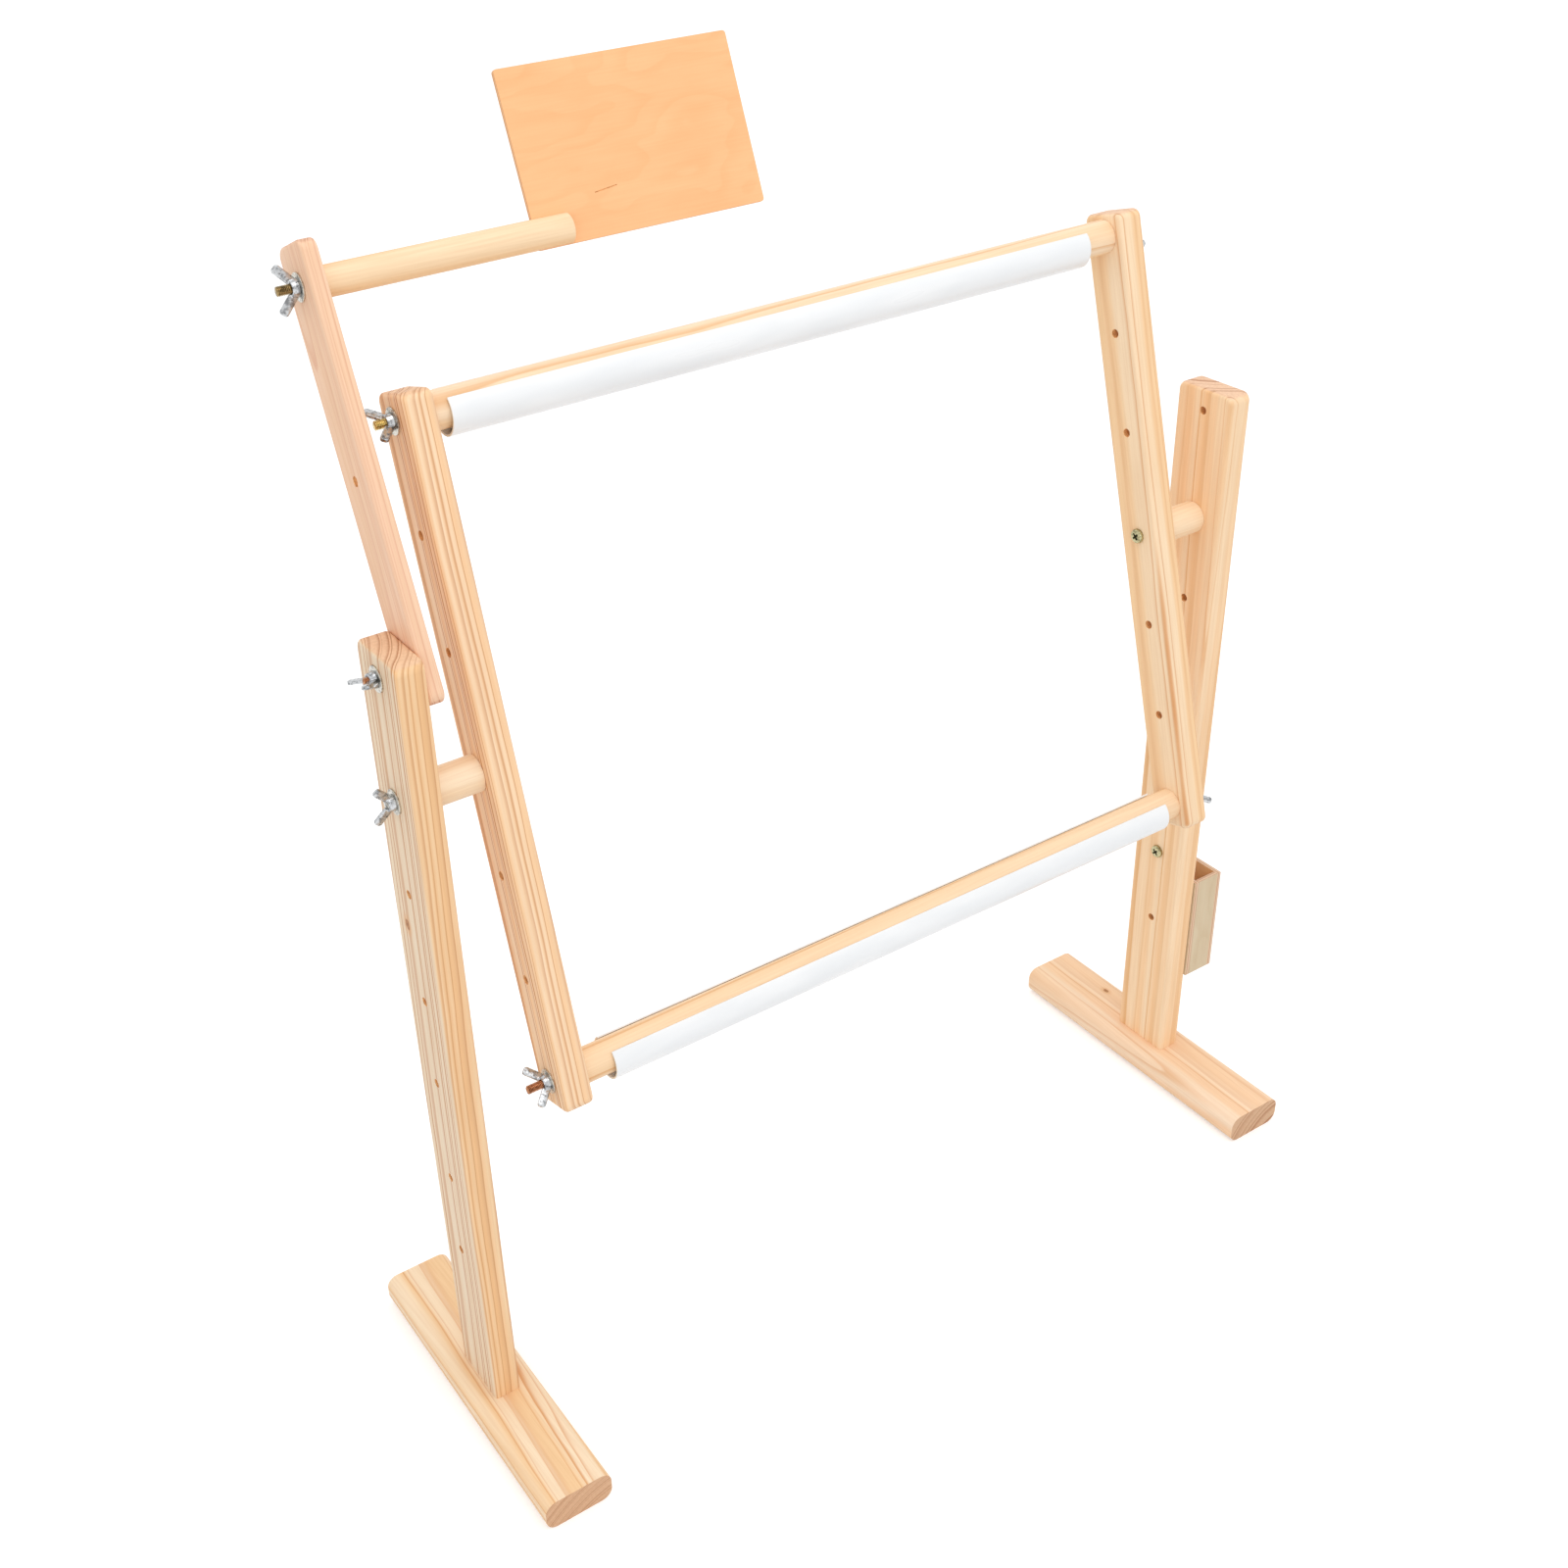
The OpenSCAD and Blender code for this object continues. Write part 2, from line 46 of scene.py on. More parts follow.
# ---- Camera ----
# The view is from the front left, looking down from about a quarter of a metre above the board.
# The small shift frames the stand as it is framed in the picture.

bpy.ops.object.camera_add(
    location=(-0.69805, -0.92049, 1.14397),
    rotation=(math.radians(58.6962), math.radians(2.5531), math.radians(-32.8885)),
)
camera = bpy.context.object
camera.name = "camera"
camera.data.sensor_width = 36
camera.data.lens = 43.488
camera.data.shift_x = 0.0625
camera.data.shift_y = -0.0178
camera.data.clip_start = 0.05
camera.data.clip_end = 80
bpy.context.scene.camera = camera


# ---- Room ----
# A plain white studio: a wide pale floor, an even white surround, and soft lamps above and in
# front. The surround shows as white to the camera and in reflections, and lights more dimly.


def feed(tree, socket, value):
    """Gives a socket its value: a number is written in, another socket is joined to it."""
    if isinstance(value, (int, float)):
        socket.default_value = value
    else:
        tree.links.new(value, socket)


def step(tree, operation, *values):
    """One sum in a node tree, of numbers or sockets."""
    node = tree.nodes.new("ShaderNodeMath")
    node.operation = operation
    for socket, value in zip(node.inputs, values):
        feed(tree, socket, value)
    return node.outputs[0]


def ramp(tree, value, start, end, low=0.0, high=1.0):
    """A value stretched smoothly between two levels."""
    node = tree.nodes.new("ShaderNodeMapRange")
    node.interpolation_type = "SMOOTHSTEP"
    tree.links.new(value, node.inputs["Value"])
    for name, number in (("From Min", start), ("From Max", end), ("To Min", low), ("To Max", high)):
        node.inputs[name].default_value = number
    return node.outputs["Result"]


def seen_directly(tree):
    """1 for rays from the camera or off glossy and clear surfaces, 0 for the rest."""
    rays = tree.nodes.new("ShaderNodeLightPath").outputs
    seen = step(tree, "MAXIMUM", rays["Is Camera Ray"], rays["Is Glossy Ray"])
    return step(tree, "MAXIMUM", seen, rays["Is Transmission Ray"])


def new_finish(name):
    """A finish that is still blank, with its node tree and its shader."""
    finish = bpy.data.materials.new(name)
    finish.use_nodes = True
    return finish, finish.node_tree, finish.node_tree.nodes["Principled BSDF"]


surround = bpy.data.worlds.new("white surround")
surround.use_nodes = True
bpy.context.scene.world = surround
surround_tree = surround.node_tree
surround_light = surround_tree.nodes["Background"].inputs
surround_light["Color"].default_value = (1, 1, 1, 1)
surround_level = ramp(surround_tree, seen_directly(surround_tree), 0, 1, 0.95, 1)
surround_tree.links.new(surround_level, surround_light["Strength"])

bpy.ops.mesh.primitive_plane_add(size=60, location=(0, 0, 0))
floor = bpy.context.object
floor.name = "floor"
floor_finish, floor_tree, floor_shader = new_finish("white floor")
floor_shader.inputs["Base Color"].default_value = (0.8, 0.8, 0.8, 1)
floor_shader.inputs["Roughness"].default_value = 0.9
floor_shader.inputs["Specular IOR Level"].default_value = 0.1
floor_shader.inputs["Emission Color"].default_value = (1, 1, 1, 1)
floor_glow = ramp(floor_tree, seen_directly(floor_tree), 0, 1, 0, 0.35)
floor_tree.links.new(floor_glow, floor_shader.inputs["Emission Strength"])
floor.data.materials.append(floor_finish)


def softbox(name, place, size, power):
    """A square soft lamp at a place, turned to shine on the middle of the stand."""
    middle_of_stand = Vector((0, 0, 0.4))
    turn = (middle_of_stand - Vector(place)).to_track_quat("-Z", "Y").to_euler()
    bpy.ops.object.light_add(type="AREA", location=place, rotation=turn)
    lamp = bpy.context.object
    lamp.name = name
    lamp.data.shape = "SQUARE"
    lamp.data.size = size
    lamp.data.energy = power


softbox("overhead lamp", (0.1, -0.5, 2.3), size=1.4, power=7)
softbox("front lamp", (-1.6, -2.0, 1.3), size=1.6, power=5)


# ---- Feet ----
# Two flat pine bars that lie front to back, planed with well rounded long edges and sawn square.
# Wide flat-sawn rings run along the top and show as slanting bands on the sawn ends. Two screws
# go up through each foot, their heads sunk in the underside.

foot_half_width, foot_half_length, foot_height = 0.0265, 0.128, 0.025
leg_middle = 0.33475


def stretched(tree, vector, scales):
    """A vector multiplied by one scale for each direction."""
    node = tree.nodes.new("ShaderNodeVectorMath")
    node.operation = "MULTIPLY"
    tree.links.new(vector, node.inputs[0])
    node.inputs[1].default_value = scales
    return node.outputs[0]


def split(tree, vector):
    """The X, Y and Z of a vector."""
    node = tree.nodes.new("ShaderNodeSeparateXYZ")
    tree.links.new(vector, node.inputs[0])
    return node.outputs


def clouds(tree, vector, scales, seed, detail=2.0):
    """Soft random variation, finer in the directions with the larger scales."""
    noise = tree.nodes.new("ShaderNodeTexNoise")
    noise.noise_dimensions = "4D"
    noise.inputs["Scale"].default_value = 1
    noise.inputs["Detail"].default_value = detail
    tree.links.new(stretched(tree, vector, scales), noise.inputs["Vector"])
    feed(tree, noise.inputs["W"], seed)
    return noise.outputs["Fac"]


def new_group(name, numbers, results):
    """A node group that takes a vector, a normal and named numbers, and gives named results."""
    tree = bpy.data.node_groups.new(name, "ShaderNodeTree")
    for title in ("Vector", "Normal"):
        tree.interface.new_socket(title, in_out="INPUT", socket_type="NodeSocketVector")
    for title in numbers:
        tree.interface.new_socket(title, in_out="INPUT", socket_type="NodeSocketFloat")
    for title in results:
        tree.interface.new_socket(title, in_out="OUTPUT", socket_type="NodeSocketFloat")
    given = tree.nodes.new("NodeGroupInput").outputs
    made = tree.nodes.new("NodeGroupOutput").inputs
    return tree, given, made


def build_growth_rings():
    """Growth rings round a pith that runs along Z, with fibres, clouds and end grain."""
    tree, given, made = new_group(
        "growth rings",
        ("Ring Width", "Wander", "Seed"),
        ("Late Wood", "Band", "Fibre", "Cloud", "End Grain", "Height"),
    )
    vector, seed = given["Vector"], given["Seed"]

    # How far from the pith: slow wander of up to a few millimetres, then a fine ripple.
    wander_x = clouds(tree, vector, (9, 9, 2.2), seed)
    wander_y = clouds(tree, vector, (11, 11, 3.1), step(tree, "ADD", seed, 7.3))
    ripple = clouds(tree, vector, (60, 60, 14), step(tree, "ADD", seed, 3.1))
    ripple_depth = 0.0012
    place = split(tree, vector)
    drift = step(tree, "MULTIPLY", given["Wander"], 2.0)
    across = step(tree, "MULTIPLY_ADD", step(tree, "SUBTRACT", wander_x, 0.5), drift, place[0])
    deep = step(tree, "MULTIPLY_ADD", step(tree, "SUBTRACT", wander_y, 0.5), drift, place[1])
    deep_squared = step(tree, "MULTIPLY", deep, deep)
    radius = step(tree, "SQRT", step(tree, "MULTIPLY_ADD", across, across, deep_squared))
    centred_ripple = step(tree, "SUBTRACT", ripple, 0.5)
    radius = step(tree, "MULTIPLY_ADD", centred_ripple, ripple_depth, radius)
    ring = step(tree, "DIVIDE", radius, given["Ring Width"])

    # Good and lean years: bands of paler wood, and rings set closer or wider.
    years = tree.nodes.new("ShaderNodeTexNoise")
    years.noise_dimensions = "1D"
    years.inputs["Scale"].default_value = 0.6
    years.inputs["Detail"].default_value = 1
    tree.links.new(step(tree, "ADD", ring, seed), years.inputs["W"])
    tree.links.new(ramp(tree, years.outputs["Fac"], 0.35, 0.65), made["Band"])
    ring = step(tree, "MULTIPLY_ADD", years.outputs["Fac"], 2.2, ring)

    # Late wood darkens slowly through a ring and stops at once, more in one ring than another.
    phase = step(tree, "FRACT", ring)
    rise = step(tree, "POWER", ramp(tree, phase, 0.35, 0.92), 2.2)
    fall = ramp(tree, phase, 0.92, 0.98, 1.0, 0.0)
    late = step(tree, "MULTIPLY", rise, fall)
    strong = tree.nodes.new("ShaderNodeTexWhiteNoise")
    strong.noise_dimensions = "1D"
    tree.links.new(step(tree, "ADD", step(tree, "FLOOR", ring), seed), strong.inputs["W"])
    late = step(tree, "MULTIPLY", late, ramp(tree, strong.outputs["Value"], 0, 1, 0.45, 1.0))
    tree.links.new(late, made["Late Wood"])

    fibre = ramp(tree, clouds(tree, vector, (620, 620, 16), seed, 3.0), 0.3, 0.7)
    tree.links.new(fibre, made["Fibre"])
    cloud = clouds(tree, vector, (26, 26, 5), step(tree, "ADD", seed, 11.0), 3.0)
    tree.links.new(ramp(tree, cloud, 0.3, 0.7), made["Cloud"])
    facing_end = step(tree, "ABSOLUTE", split(tree, given["Normal"])[2])
    tree.links.new(ramp(tree, facing_end, 0.55, 0.85), made["End Grain"])
    height = step(tree, "MULTIPLY_ADD", late, 0.5, step(tree, "MULTIPLY", fibre, 0.5))
    tree.links.new(height, made["Height"])
    return tree


growth_rings = build_growth_rings()


def tint(code):
    """A colour from its six-figure code, made linear for the shaders."""
    parts = [int(code[at : at + 2], 16) / 255 for at in (1, 3, 5)]
    return [c / 12.92 if c <= 0.04045 else ((c + 0.055) / 1.055) ** 2.4 for c in parts] + [1]


def blend_colours(tree, share, first, second, most=1.0):
    """Mixes two colours, codes or sockets. Where the share is 1, most of it is the second."""
    mix = tree.nodes.new("ShaderNodeMix")
    mix.data_type = "RGBA"
    if most < 1.0:
        share = step(tree, "MULTIPLY", share, most)
    tree.links.new(share, mix.inputs["Factor"])
    for socket, colour in ((mix.inputs[6], first), (mix.inputs[7], second)):
        if isinstance(colour, str):
            socket.default_value = tint(colour)
        else:
            tree.links.new(colour, socket)
    return mix.outputs[2]


def laid_out(tree, output, place, turn):
    """Coordinates or normals of a piece, moved and turned so that Z runs along its grain."""
    coordinates = tree.nodes.new("ShaderNodeTexCoord")
    laid = tree.nodes.new("ShaderNodeMapping")
    laid.vector_type = "TEXTURE"
    laid.inputs["Location"].default_value = place
    laid.inputs["Rotation"].default_value = [math.radians(a) for a in turn]
    tree.links.new(coordinates.outputs[output], laid.inputs["Vector"])
    return laid.outputs["Vector"]


def lay_group(tree, group, place, turn, numbers):
    """Puts a group into a finish, laid out along the grain of the piece."""
    node = tree.nodes.new("ShaderNodeGroup")
    node.node_tree = group
    for title, number in numbers.items():
        node.inputs[title].default_value = number
    tree.links.new(laid_out(tree, "Object", place, turn), node.inputs["Vector"])
    tree.links.new(laid_out(tree, "Normal", (0, 0, 0), turn), node.inputs["Normal"])
    return node.outputs


def emboss(tree, shader, height, strength, distance):
    """Raises the surface a little where the height is greater."""
    relief = tree.nodes.new("ShaderNodeBump")
    relief.inputs["Strength"].default_value = strength
    relief.inputs["Distance"].default_value = distance
    tree.links.new(height, relief.inputs["Height"])
    tree.links.new(relief.outputs["Normal"], shader.inputs["Normal"])


def planed_pine(
    name, pith, turn, ring, seed, early, band, late, end="#E2B48C", wander=0.004, side_tone=None
):
    """Unvarnished pine. The pith is a point on the middle of the tree, turn sets Z along the grain.

    Early, band and late colour the rings, end the sawn ends. Side_tone gives a paler, greyer tone
    for the wood near one face, the place of that face and how deep the tone goes.
    """
    finish, tree, shader = new_finish(name)
    numbers = {"Ring Width": ring, "Wander": wander, "Seed": seed}
    rings = lay_group(tree, growth_rings, pith, turn, numbers)
    sapwood = blend_colours(tree, rings["Band"], early, band)
    sapwood = blend_colours(tree, rings["Cloud"], sapwood, "#F5D0A4", 0.35)
    if side_tone:
        tone, side, depth = side_tone
        across = split(tree, tree.nodes.new("ShaderNodeTexCoord").outputs["Object"])[0]
        near = ramp(tree, across, side, side + depth, 0.7, 0.0)
        sapwood = blend_colours(tree, near, sapwood, tone)
    streaked = blend_colours(tree, rings["Late Wood"], sapwood, late)
    planed = blend_colours(tree, rings["Fibre"], streaked, "#CC955E", 0.17)
    sawn = blend_colours(tree, rings["Late Wood"], end, "#AE7048")
    sawn = blend_colours(tree, rings["Fibre"], sawn, "#9C6740", 0.15)
    grown = blend_colours(tree, rings["End Grain"], planed, sawn)
    tree.links.new(grown, shader.inputs["Base Color"])
    tree.links.new(ramp(tree, rings["Fibre"], 0, 1, 0.48, 0.64), shader.inputs["Roughness"])
    shader.inputs["Specular IOR Level"].default_value = 0.3
    emboss(tree, shader, rings["Height"], 0.3, 0.00012)
    return finish


def build_drilled_wood():
    """The wall of a drilled hole: darker, rougher wood with rings of torn fibre."""
    finish, tree, shader = new_finish("drilled pine")
    place = tree.nodes.new("ShaderNodeTexCoord").outputs["Object"]
    torn = clouds(tree, place, (900, 240, 240), 5.0, 3.0)
    colour = blend_colours(tree, ramp(tree, torn, 0.35, 0.65), "#FFCB8E", "#D99A5E")
    tree.links.new(colour, shader.inputs["Base Color"])
    shader.inputs["Roughness"].default_value = 0.85
    emboss(tree, shader, torn, 1.0, 0.0003)
    return finish


drilled_pine = build_drilled_wood()


def take_up(*pieces):
    """Selects some pieces and nothing else, and makes the last one active."""
    bpy.ops.object.select_all(action="DESELECT")
    for piece in pieces:
        piece.select_set(True)
    bpy.context.view_layer.objects.active = pieces[-1]


def blank(name, low, high, finish):
    """A sawn blank of wood between two corners."""
    low, high = Vector(low), Vector(high)
    bpy.ops.mesh.primitive_cube_add(size=1, location=(low + high) / 2, scale=high - low)
    piece = bpy.context.object
    piece.name = piece.data.name = name
    bpy.ops.object.transform_apply()
    piece.data.materials.append(finish)
    return piece


def choose(piece, kind, wanted):
    """In edit mode, selects the vertices, edges or faces that pass a test."""
    bpy.ops.mesh.select_mode(type=kind)
    mesh = bmesh.from_edit_mesh(piece.data)
    for part in (*mesh.verts, *mesh.edges, *mesh.faces):
        part.select = False
    for part in {"VERT": mesh.verts, "EDGE": mesh.edges, "FACE": mesh.faces}[kind]:
        if wanted(part):
            part.select_set(True)
    bmesh.update_edit_mesh(piece.data)


def runs(edge, axis):
    """Whether an edge runs straight along an axis: 0 across the stand, 1 front to back, 2 up."""
    way = edge.verts[1].co - edge.verts[0].co
    return abs(way[axis]) > 0.999 * way.length


def round_edges(piece, width, segments, wanted):
    """Rounds the edges of the active piece that pass a test."""
    bpy.ops.object.mode_set(mode="EDIT")
    choose(piece, "EDGE", wanted)
    bpy.ops.mesh.bevel(offset=width, segments=segments, affect="EDGES")
    bpy.ops.object.mode_set(mode="OBJECT")


def cut(piece, cutter):
    """Takes one shape away from another. The cut faces keep the cutter's finish."""
    knife = piece.modifiers.new("cut", "BOOLEAN")
    knife.object = cutter
    knife.solver = "EXACT"
    knife.material_mode = "TRANSFER"
    bpy.context.view_layer.objects.active = piece
    bpy.ops.object.modifier_apply(modifier="cut")
    bpy.data.objects.remove(cutter)


def cut_with_last(piece):
    """Takes the shape made last away from a piece of wood, and leaves drilled wood there."""
    bit = bpy.context.object
    bit.data.materials.append(drilled_pine)
    cut(piece, bit)


def ease(piece, width=0.0005, segments=2):
    """Rounds what is still sharp, and shades flats flat and roundings smooth."""
    take_up(piece)
    bpy.ops.object.shade_smooth()
    edges = piece.modifiers.new("eased edges", "BEVEL")
    edges.width = width
    edges.segments = segments
    edges.limit_method = "ANGLE"
    edges.angle_limit = math.radians(40)
    bpy.ops.object.modifier_apply(modifier="eased edges")
    flats = piece.modifiers.new("flat faces", "WEIGHTED_NORMAL")
    flats.weight = 90
    bpy.ops.object.modifier_apply(modifier="flat faces")


def mark_knot(finish, place, half_sizes):
    """Grows a small knot on a pine finish: a dark heart, a paler ring and a thin dark rim."""
    tree = finish.node_tree
    shader = tree.nodes["Principled BSDF"]
    grown = shader.inputs["Base Color"].links[0].from_socket
    spot = laid_out(tree, "Object", place, (0, 0, 0))
    distance = tree.nodes.new("ShaderNodeVectorMath")
    distance.operation = "LENGTH"
    in_halves = stretched(tree, spot, [1 / half for half in half_sizes])
    tree.links.new(in_halves, distance.inputs[0])
    uneven = step(tree, "SUBTRACT", clouds(tree, spot, (500, 500, 500), 1.0), 0.5)
    far = step(tree, "MULTIPLY_ADD", uneven, 0.6, distance.outputs["Value"])
    for full, gone, strength, colour in (
        (1.0, 2.6, 0.5, "#E0A870"),
        (0.8, 1.0, 0.9, "#A5683A"),
        (0.35, 0.7, 0.8, "#C9925E"),
        (0.1, 0.4, 0.9, "#7E4A26"),
    ):
        grown = blend_colours(tree, ramp(tree, far, full, gone, strength, 0.0), grown, colour)
    tree.links.new(grown, shader.inputs["Base Color"])


def make_foot(node, across, finish):
    """A foot bar: the blank is rounded along its four long edges and drilled from below."""
    foot = blank(
        node + "_bar",
        (across - foot_half_width, -foot_half_length, 0),
        (across + foot_half_width, foot_half_length, foot_height),
        finish,
    )
    round_edges(foot, 0.009, 9, lambda edge: runs(edge, 1))
    for deep in (-0.014, 0.014):
        bpy.ops.mesh.primitive_cylinder_add(
            vertices=32, radius=0.0025, depth=0.06, location=(across, deep, 0.01)
        )
        cut_with_last(foot)
        bpy.ops.mesh.primitive_cone_add(
            vertices=40,
            radius1=0.0055,
            radius2=0.0025,
            depth=0.004,
            location=(across, deep, 0.0013),
        )
        cut_with_last(foot)
    ease(foot, 0.0004)
    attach(foot, "stand")
    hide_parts(node)


left_foot_pine = planed_pine(
    "left foot pine", (-0.300, 0, -0.060), (-91.4, 0, 1.6), ring=0.0036, seed=1.0,
    early="#FAE3C4", band="#F4CC9C", late="#DD9F68", end="#E0B48E", wander=0.006,
)
right_foot_pine = planed_pine(
    "right foot pine", (0.375, 0, -0.03), (-89.2, 0, -2.4), ring=0.0068, seed=2.0,
    early="#FDE2C6", band="#FAD2AC", late="#E8B688", end="#DCB490",
)
mark_knot(right_foot_pine, (0.345, 0.0638, foot_height), (0.0019, 0.0032, 0.004))
make_foot("left_foot", -leg_middle, left_foot_pine)
make_foot("right_foot", leg_middle, right_foot_pine)


def zinc_plate(name, base="#D6D2C8", shade="#77746C", roughness=0.24, speckle=900.0):
    """Zinc plate on steel: bright, with a fine speckle of duller patches and faint ripples.
    Their darker colour is partly the plate's own speckle and partly painted reflection of dark
    things.
    """
    finish, tree, shader = new_finish(name)
    shader.inputs["Metallic"].default_value = 1.0
    place = tree.nodes.new("ShaderNodeTexCoord").outputs["Object"]
    speckle_and_painted_reflection = clouds(tree, place, (speckle, speckle, speckle), 2.0, 3.0)
    ripples_and_painted_reflection = clouds(tree, place, (260, 260, 260), 6.0, 2.0)
    # The darker colour over the speckle and the ripples is partly painted reflection, standing in
    # for dark things the metal mirrors.
    colour = blend_colours(tree, ramp(tree, speckle_and_painted_reflection, 0.5, 0.68), base, shade, 0.7)
    colour = blend_colours(tree, ramp(tree, ripples_and_painted_reflection, 0.48, 0.64), colour, shade, 0.6)
    tree.links.new(colour, shader.inputs["Base Color"])
    gloss = ramp(tree, speckle_and_painted_reflection, 0.35, 0.7, roughness, roughness + 0.22)
    tree.links.new(gloss, shader.inputs["Roughness"])
    height = step(tree, "ADD", ripples_and_painted_reflection, step(tree, "MULTIPLY", speckle_and_painted_reflection, 0.25))
    emboss(tree, shader, height, 0.6, 0.00025)
    return finish


# The default warm grey base of this plate is painted reflection: it stands in for the pale wood
# that the washers mirror.
zinc_warmed_by_painted_reflection = zinc_plate("bright zinc plate")
for foot in ("left", "right"):
    for end in ("front", "rear"):
        screw = nodes[foot + "_" + end + "_foot_screw"]
        screw.data.materials.clear()
        screw.data.materials.append(zinc_warmed_by_painted_reflection)


# ---- Posts ----
# Two pine boards on end, one on the middle of each foot, with all edges rounded over by a small
# cutter and the two top corners rounded first. Two rows of holes let the frame, the pattern
# holder and the box sit at several heights. The left post has one small knot.

post_half_width, post_half_depth, post_top = 0.01025, 0.02625, 0.6355
post_outside = 0.345
pattern_pivot, frame_pivot, box_hole = 0.6185, 0.5335, 0.2255
hair = 1e-5


def lathe(start, end, radius, vertices):
    """A round bar across the stand between two middle points."""
    start, end = Vector(start), Vector(end)
    bpy.ops.mesh.primitive_cylinder_add(
        vertices=vertices,
        radius=radius,
        depth=(end - start).length,
        location=(start + end) / 2,
        rotation=(0, math.radians(90), 0),
    )
    bpy.ops.object.transform_apply()
    return bpy.context.object


def drill(piece, places):
    """Drills a row of holes across the stand, right through a piece."""
    reach = Vector((0.03, 0, 0))
    bits = [lathe(Vector(place) - reach, Vector(place) + reach, 0.00308, 32) for place in places]
    take_up(*bits)
    if len(bits) > 1:
        bpy.ops.object.join()
    cut_with_last(piece)


def round_over(piece, corner, edge, stands=False):
    """Rounds the corners of a board seen from the side, then the edges of its broad faces.

    The lower end of a board that stands on something stays square.
    """
    sides = [min(v.co.x for v in piece.data.vertices), max(v.co.x for v in piece.data.vertices)]
    lowest = min(v.co.z for v in piece.data.vertices)
    square_below = lowest + hair if stands else lowest - hair
    round_edges(
        piece, corner, 7,
        lambda e: runs(e, 0) and all(v.co.z > square_below for v in e.verts),
    )
    round_edges(
        piece, edge, 5,
        lambda e: not runs(e, 0)
        and any(all(abs(v.co.x - side) < hair for v in e.verts) for side in sides)
        and any(v.co.z > square_below for v in e.verts),
    )


def make_post(node, across, finish):
    """A post: rounded at the top, square on the foot, with seven holes."""
    post = blank(
        node + "_board",
        (across - post_half_width, -post_half_depth, foot_height),
        (across + post_half_width, post_half_depth, post_top),
        finish,
    )
    round_over(post, 0.007, 0.003, stands=True)
    rows = (pattern_pivot, 0.4645, 0.3105, 0.1565, frame_pivot, 0.3795, box_hole)
    drill(post, [(across, 0, height) for height in rows])
    ease(post)
    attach(post, "stand")
    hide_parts(node)


left_post_pine = planed_pine(
    "left post pine", (-0.409, 0.041, 0), (0.3, 0.2, 0), ring=0.0031, seed=3.6,
    early="#FAD8AE", band="#F2C28E", late="#BC7438", end="#F0C6A0",
    # A paler, greyer tone on the wood next to the post's outer face.
    side_tone=("#EBDDC6", -post_outside, 0.0015),
)
mark_knot(left_post_pine, (-post_outside, 0.0098, 0.4357), (0.008, 0.0031, 0.0045))
make_post("left_post", -leg_middle, left_post_pine)
right_post_pine = planed_pine(
    "right post pine", (0.40, 0.055, 0), (-0.4, 0.3, 0), ring=0.0066, seed=4.0,
    early="#FFE2BE", band="#FCD0A0", late="#E9B57E", end="#F2CBAA",
)
make_post("right_post", leg_middle, right_post_pine)


# ---- Spacers ----
# A short length of round pine between each post and the frame, bored through for the pivot screw.
# It is cut from the same dowel stock as the rollers, and its sawn ends are eased. Its colours are
# paler than the rollers': painted light that lifts the shade between post and arm.

arm_outside, post_inside = 0.2895, 0.3245


def round_bar(name, start, end, radius, finish):
    """A round pine bar across the stand between two middle points."""
    bar = lathe(start, end, radius, 64)
    bar.name = bar.data.name = name
    bar.data.materials.append(finish)
    return bar


for node, start, end, seed in (
    ("left_spacer", -post_inside, -arm_outside, 1.4),
    ("right_spacer", arm_outside, post_inside, 8.3),
):
    # Paler than the roller pine: painted light for the shade between post and arm.
    spacer_pine_with_painted_light = planed_pine(
        node + " pine", (0, 0.045, 0.50), (0, 90.4, 1), ring=0.016, seed=seed,
        early="#FFF0D6", band="#FFE6C4", late="#F6D2A6",
    )
    ends = (start, 0, frame_pivot), (end, 0, frame_pivot)
    spacer = round_bar(node + "_dowel", *ends, 0.01225, spacer_pine_with_painted_light)
    drill(spacer, [((start + end) / 2, 0, frame_pivot)])
    ease(spacer)
    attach(spacer, "stand")
    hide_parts(node)


# ---- Frame arms ----
# Two pine bars that lean back together, with a pivot hole near the middle, a hole for each roller
# and four spare holes for a smaller work window. Their edges are rounded over like the posts'.

frame_lean = 15.2
arm_inside, arm_middle = 0.2685, 0.279
arm_half_width, arm_half_depth, arm_half_length = 0.0105, 0.018, 0.236
top_hole, bottom_hole = 0.220, -0.2165


def tilt_back(piece, degrees, pivot_height):
    """Leans a piece back that was made upright round its pivot."""
    piece.rotation_euler.x = -math.radians(degrees)
    piece.location.z = pivot_height
    take_up(piece)
    bpy.ops.object.transform_apply()


def make_arm(node, across, finish):
    """A frame arm, made upright round its pivot and then leaned back."""
    arm = blank(
        node + "_bar",
        (across - arm_half_width, -arm_half_depth, -arm_half_length),
        (across + arm_half_width, arm_half_depth, arm_half_length),
        finish,
    )
    round_over(arm, 0.006, 0.003)
    rows = (0, top_hole, bottom_hole, 0.151, 0.078, -0.070, -0.143)
    drill(arm, [(across, 0, height) for height in rows])
    ease(arm)
    tilt_back(arm, frame_lean, frame_pivot)
    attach(arm, "frame")
    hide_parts(node)


left_arm_pine = planed_pine(
    "left arm pine", (-0.345, 0.044, 0.5215), (-frame_lean, 0.3, 0), ring=0.0032, seed=5.7,
    early="#FDE3C4", band="#F9D0A4", late="#C27C46", end="#F0C8A2",
)
make_arm("left_arm", -arm_middle, left_arm_pine)
right_arm_pine = planed_pine(
    "right arm pine", (0.36, 0.045, 0.5335), (-frame_lean, -0.4, 0), ring=0.0058, seed=6.0,
    early="#FCE1BE", band="#FAD4A6", late="#D99860", end="#F2CBAA",
)
make_arm("right_arm", arm_middle, right_arm_pine)


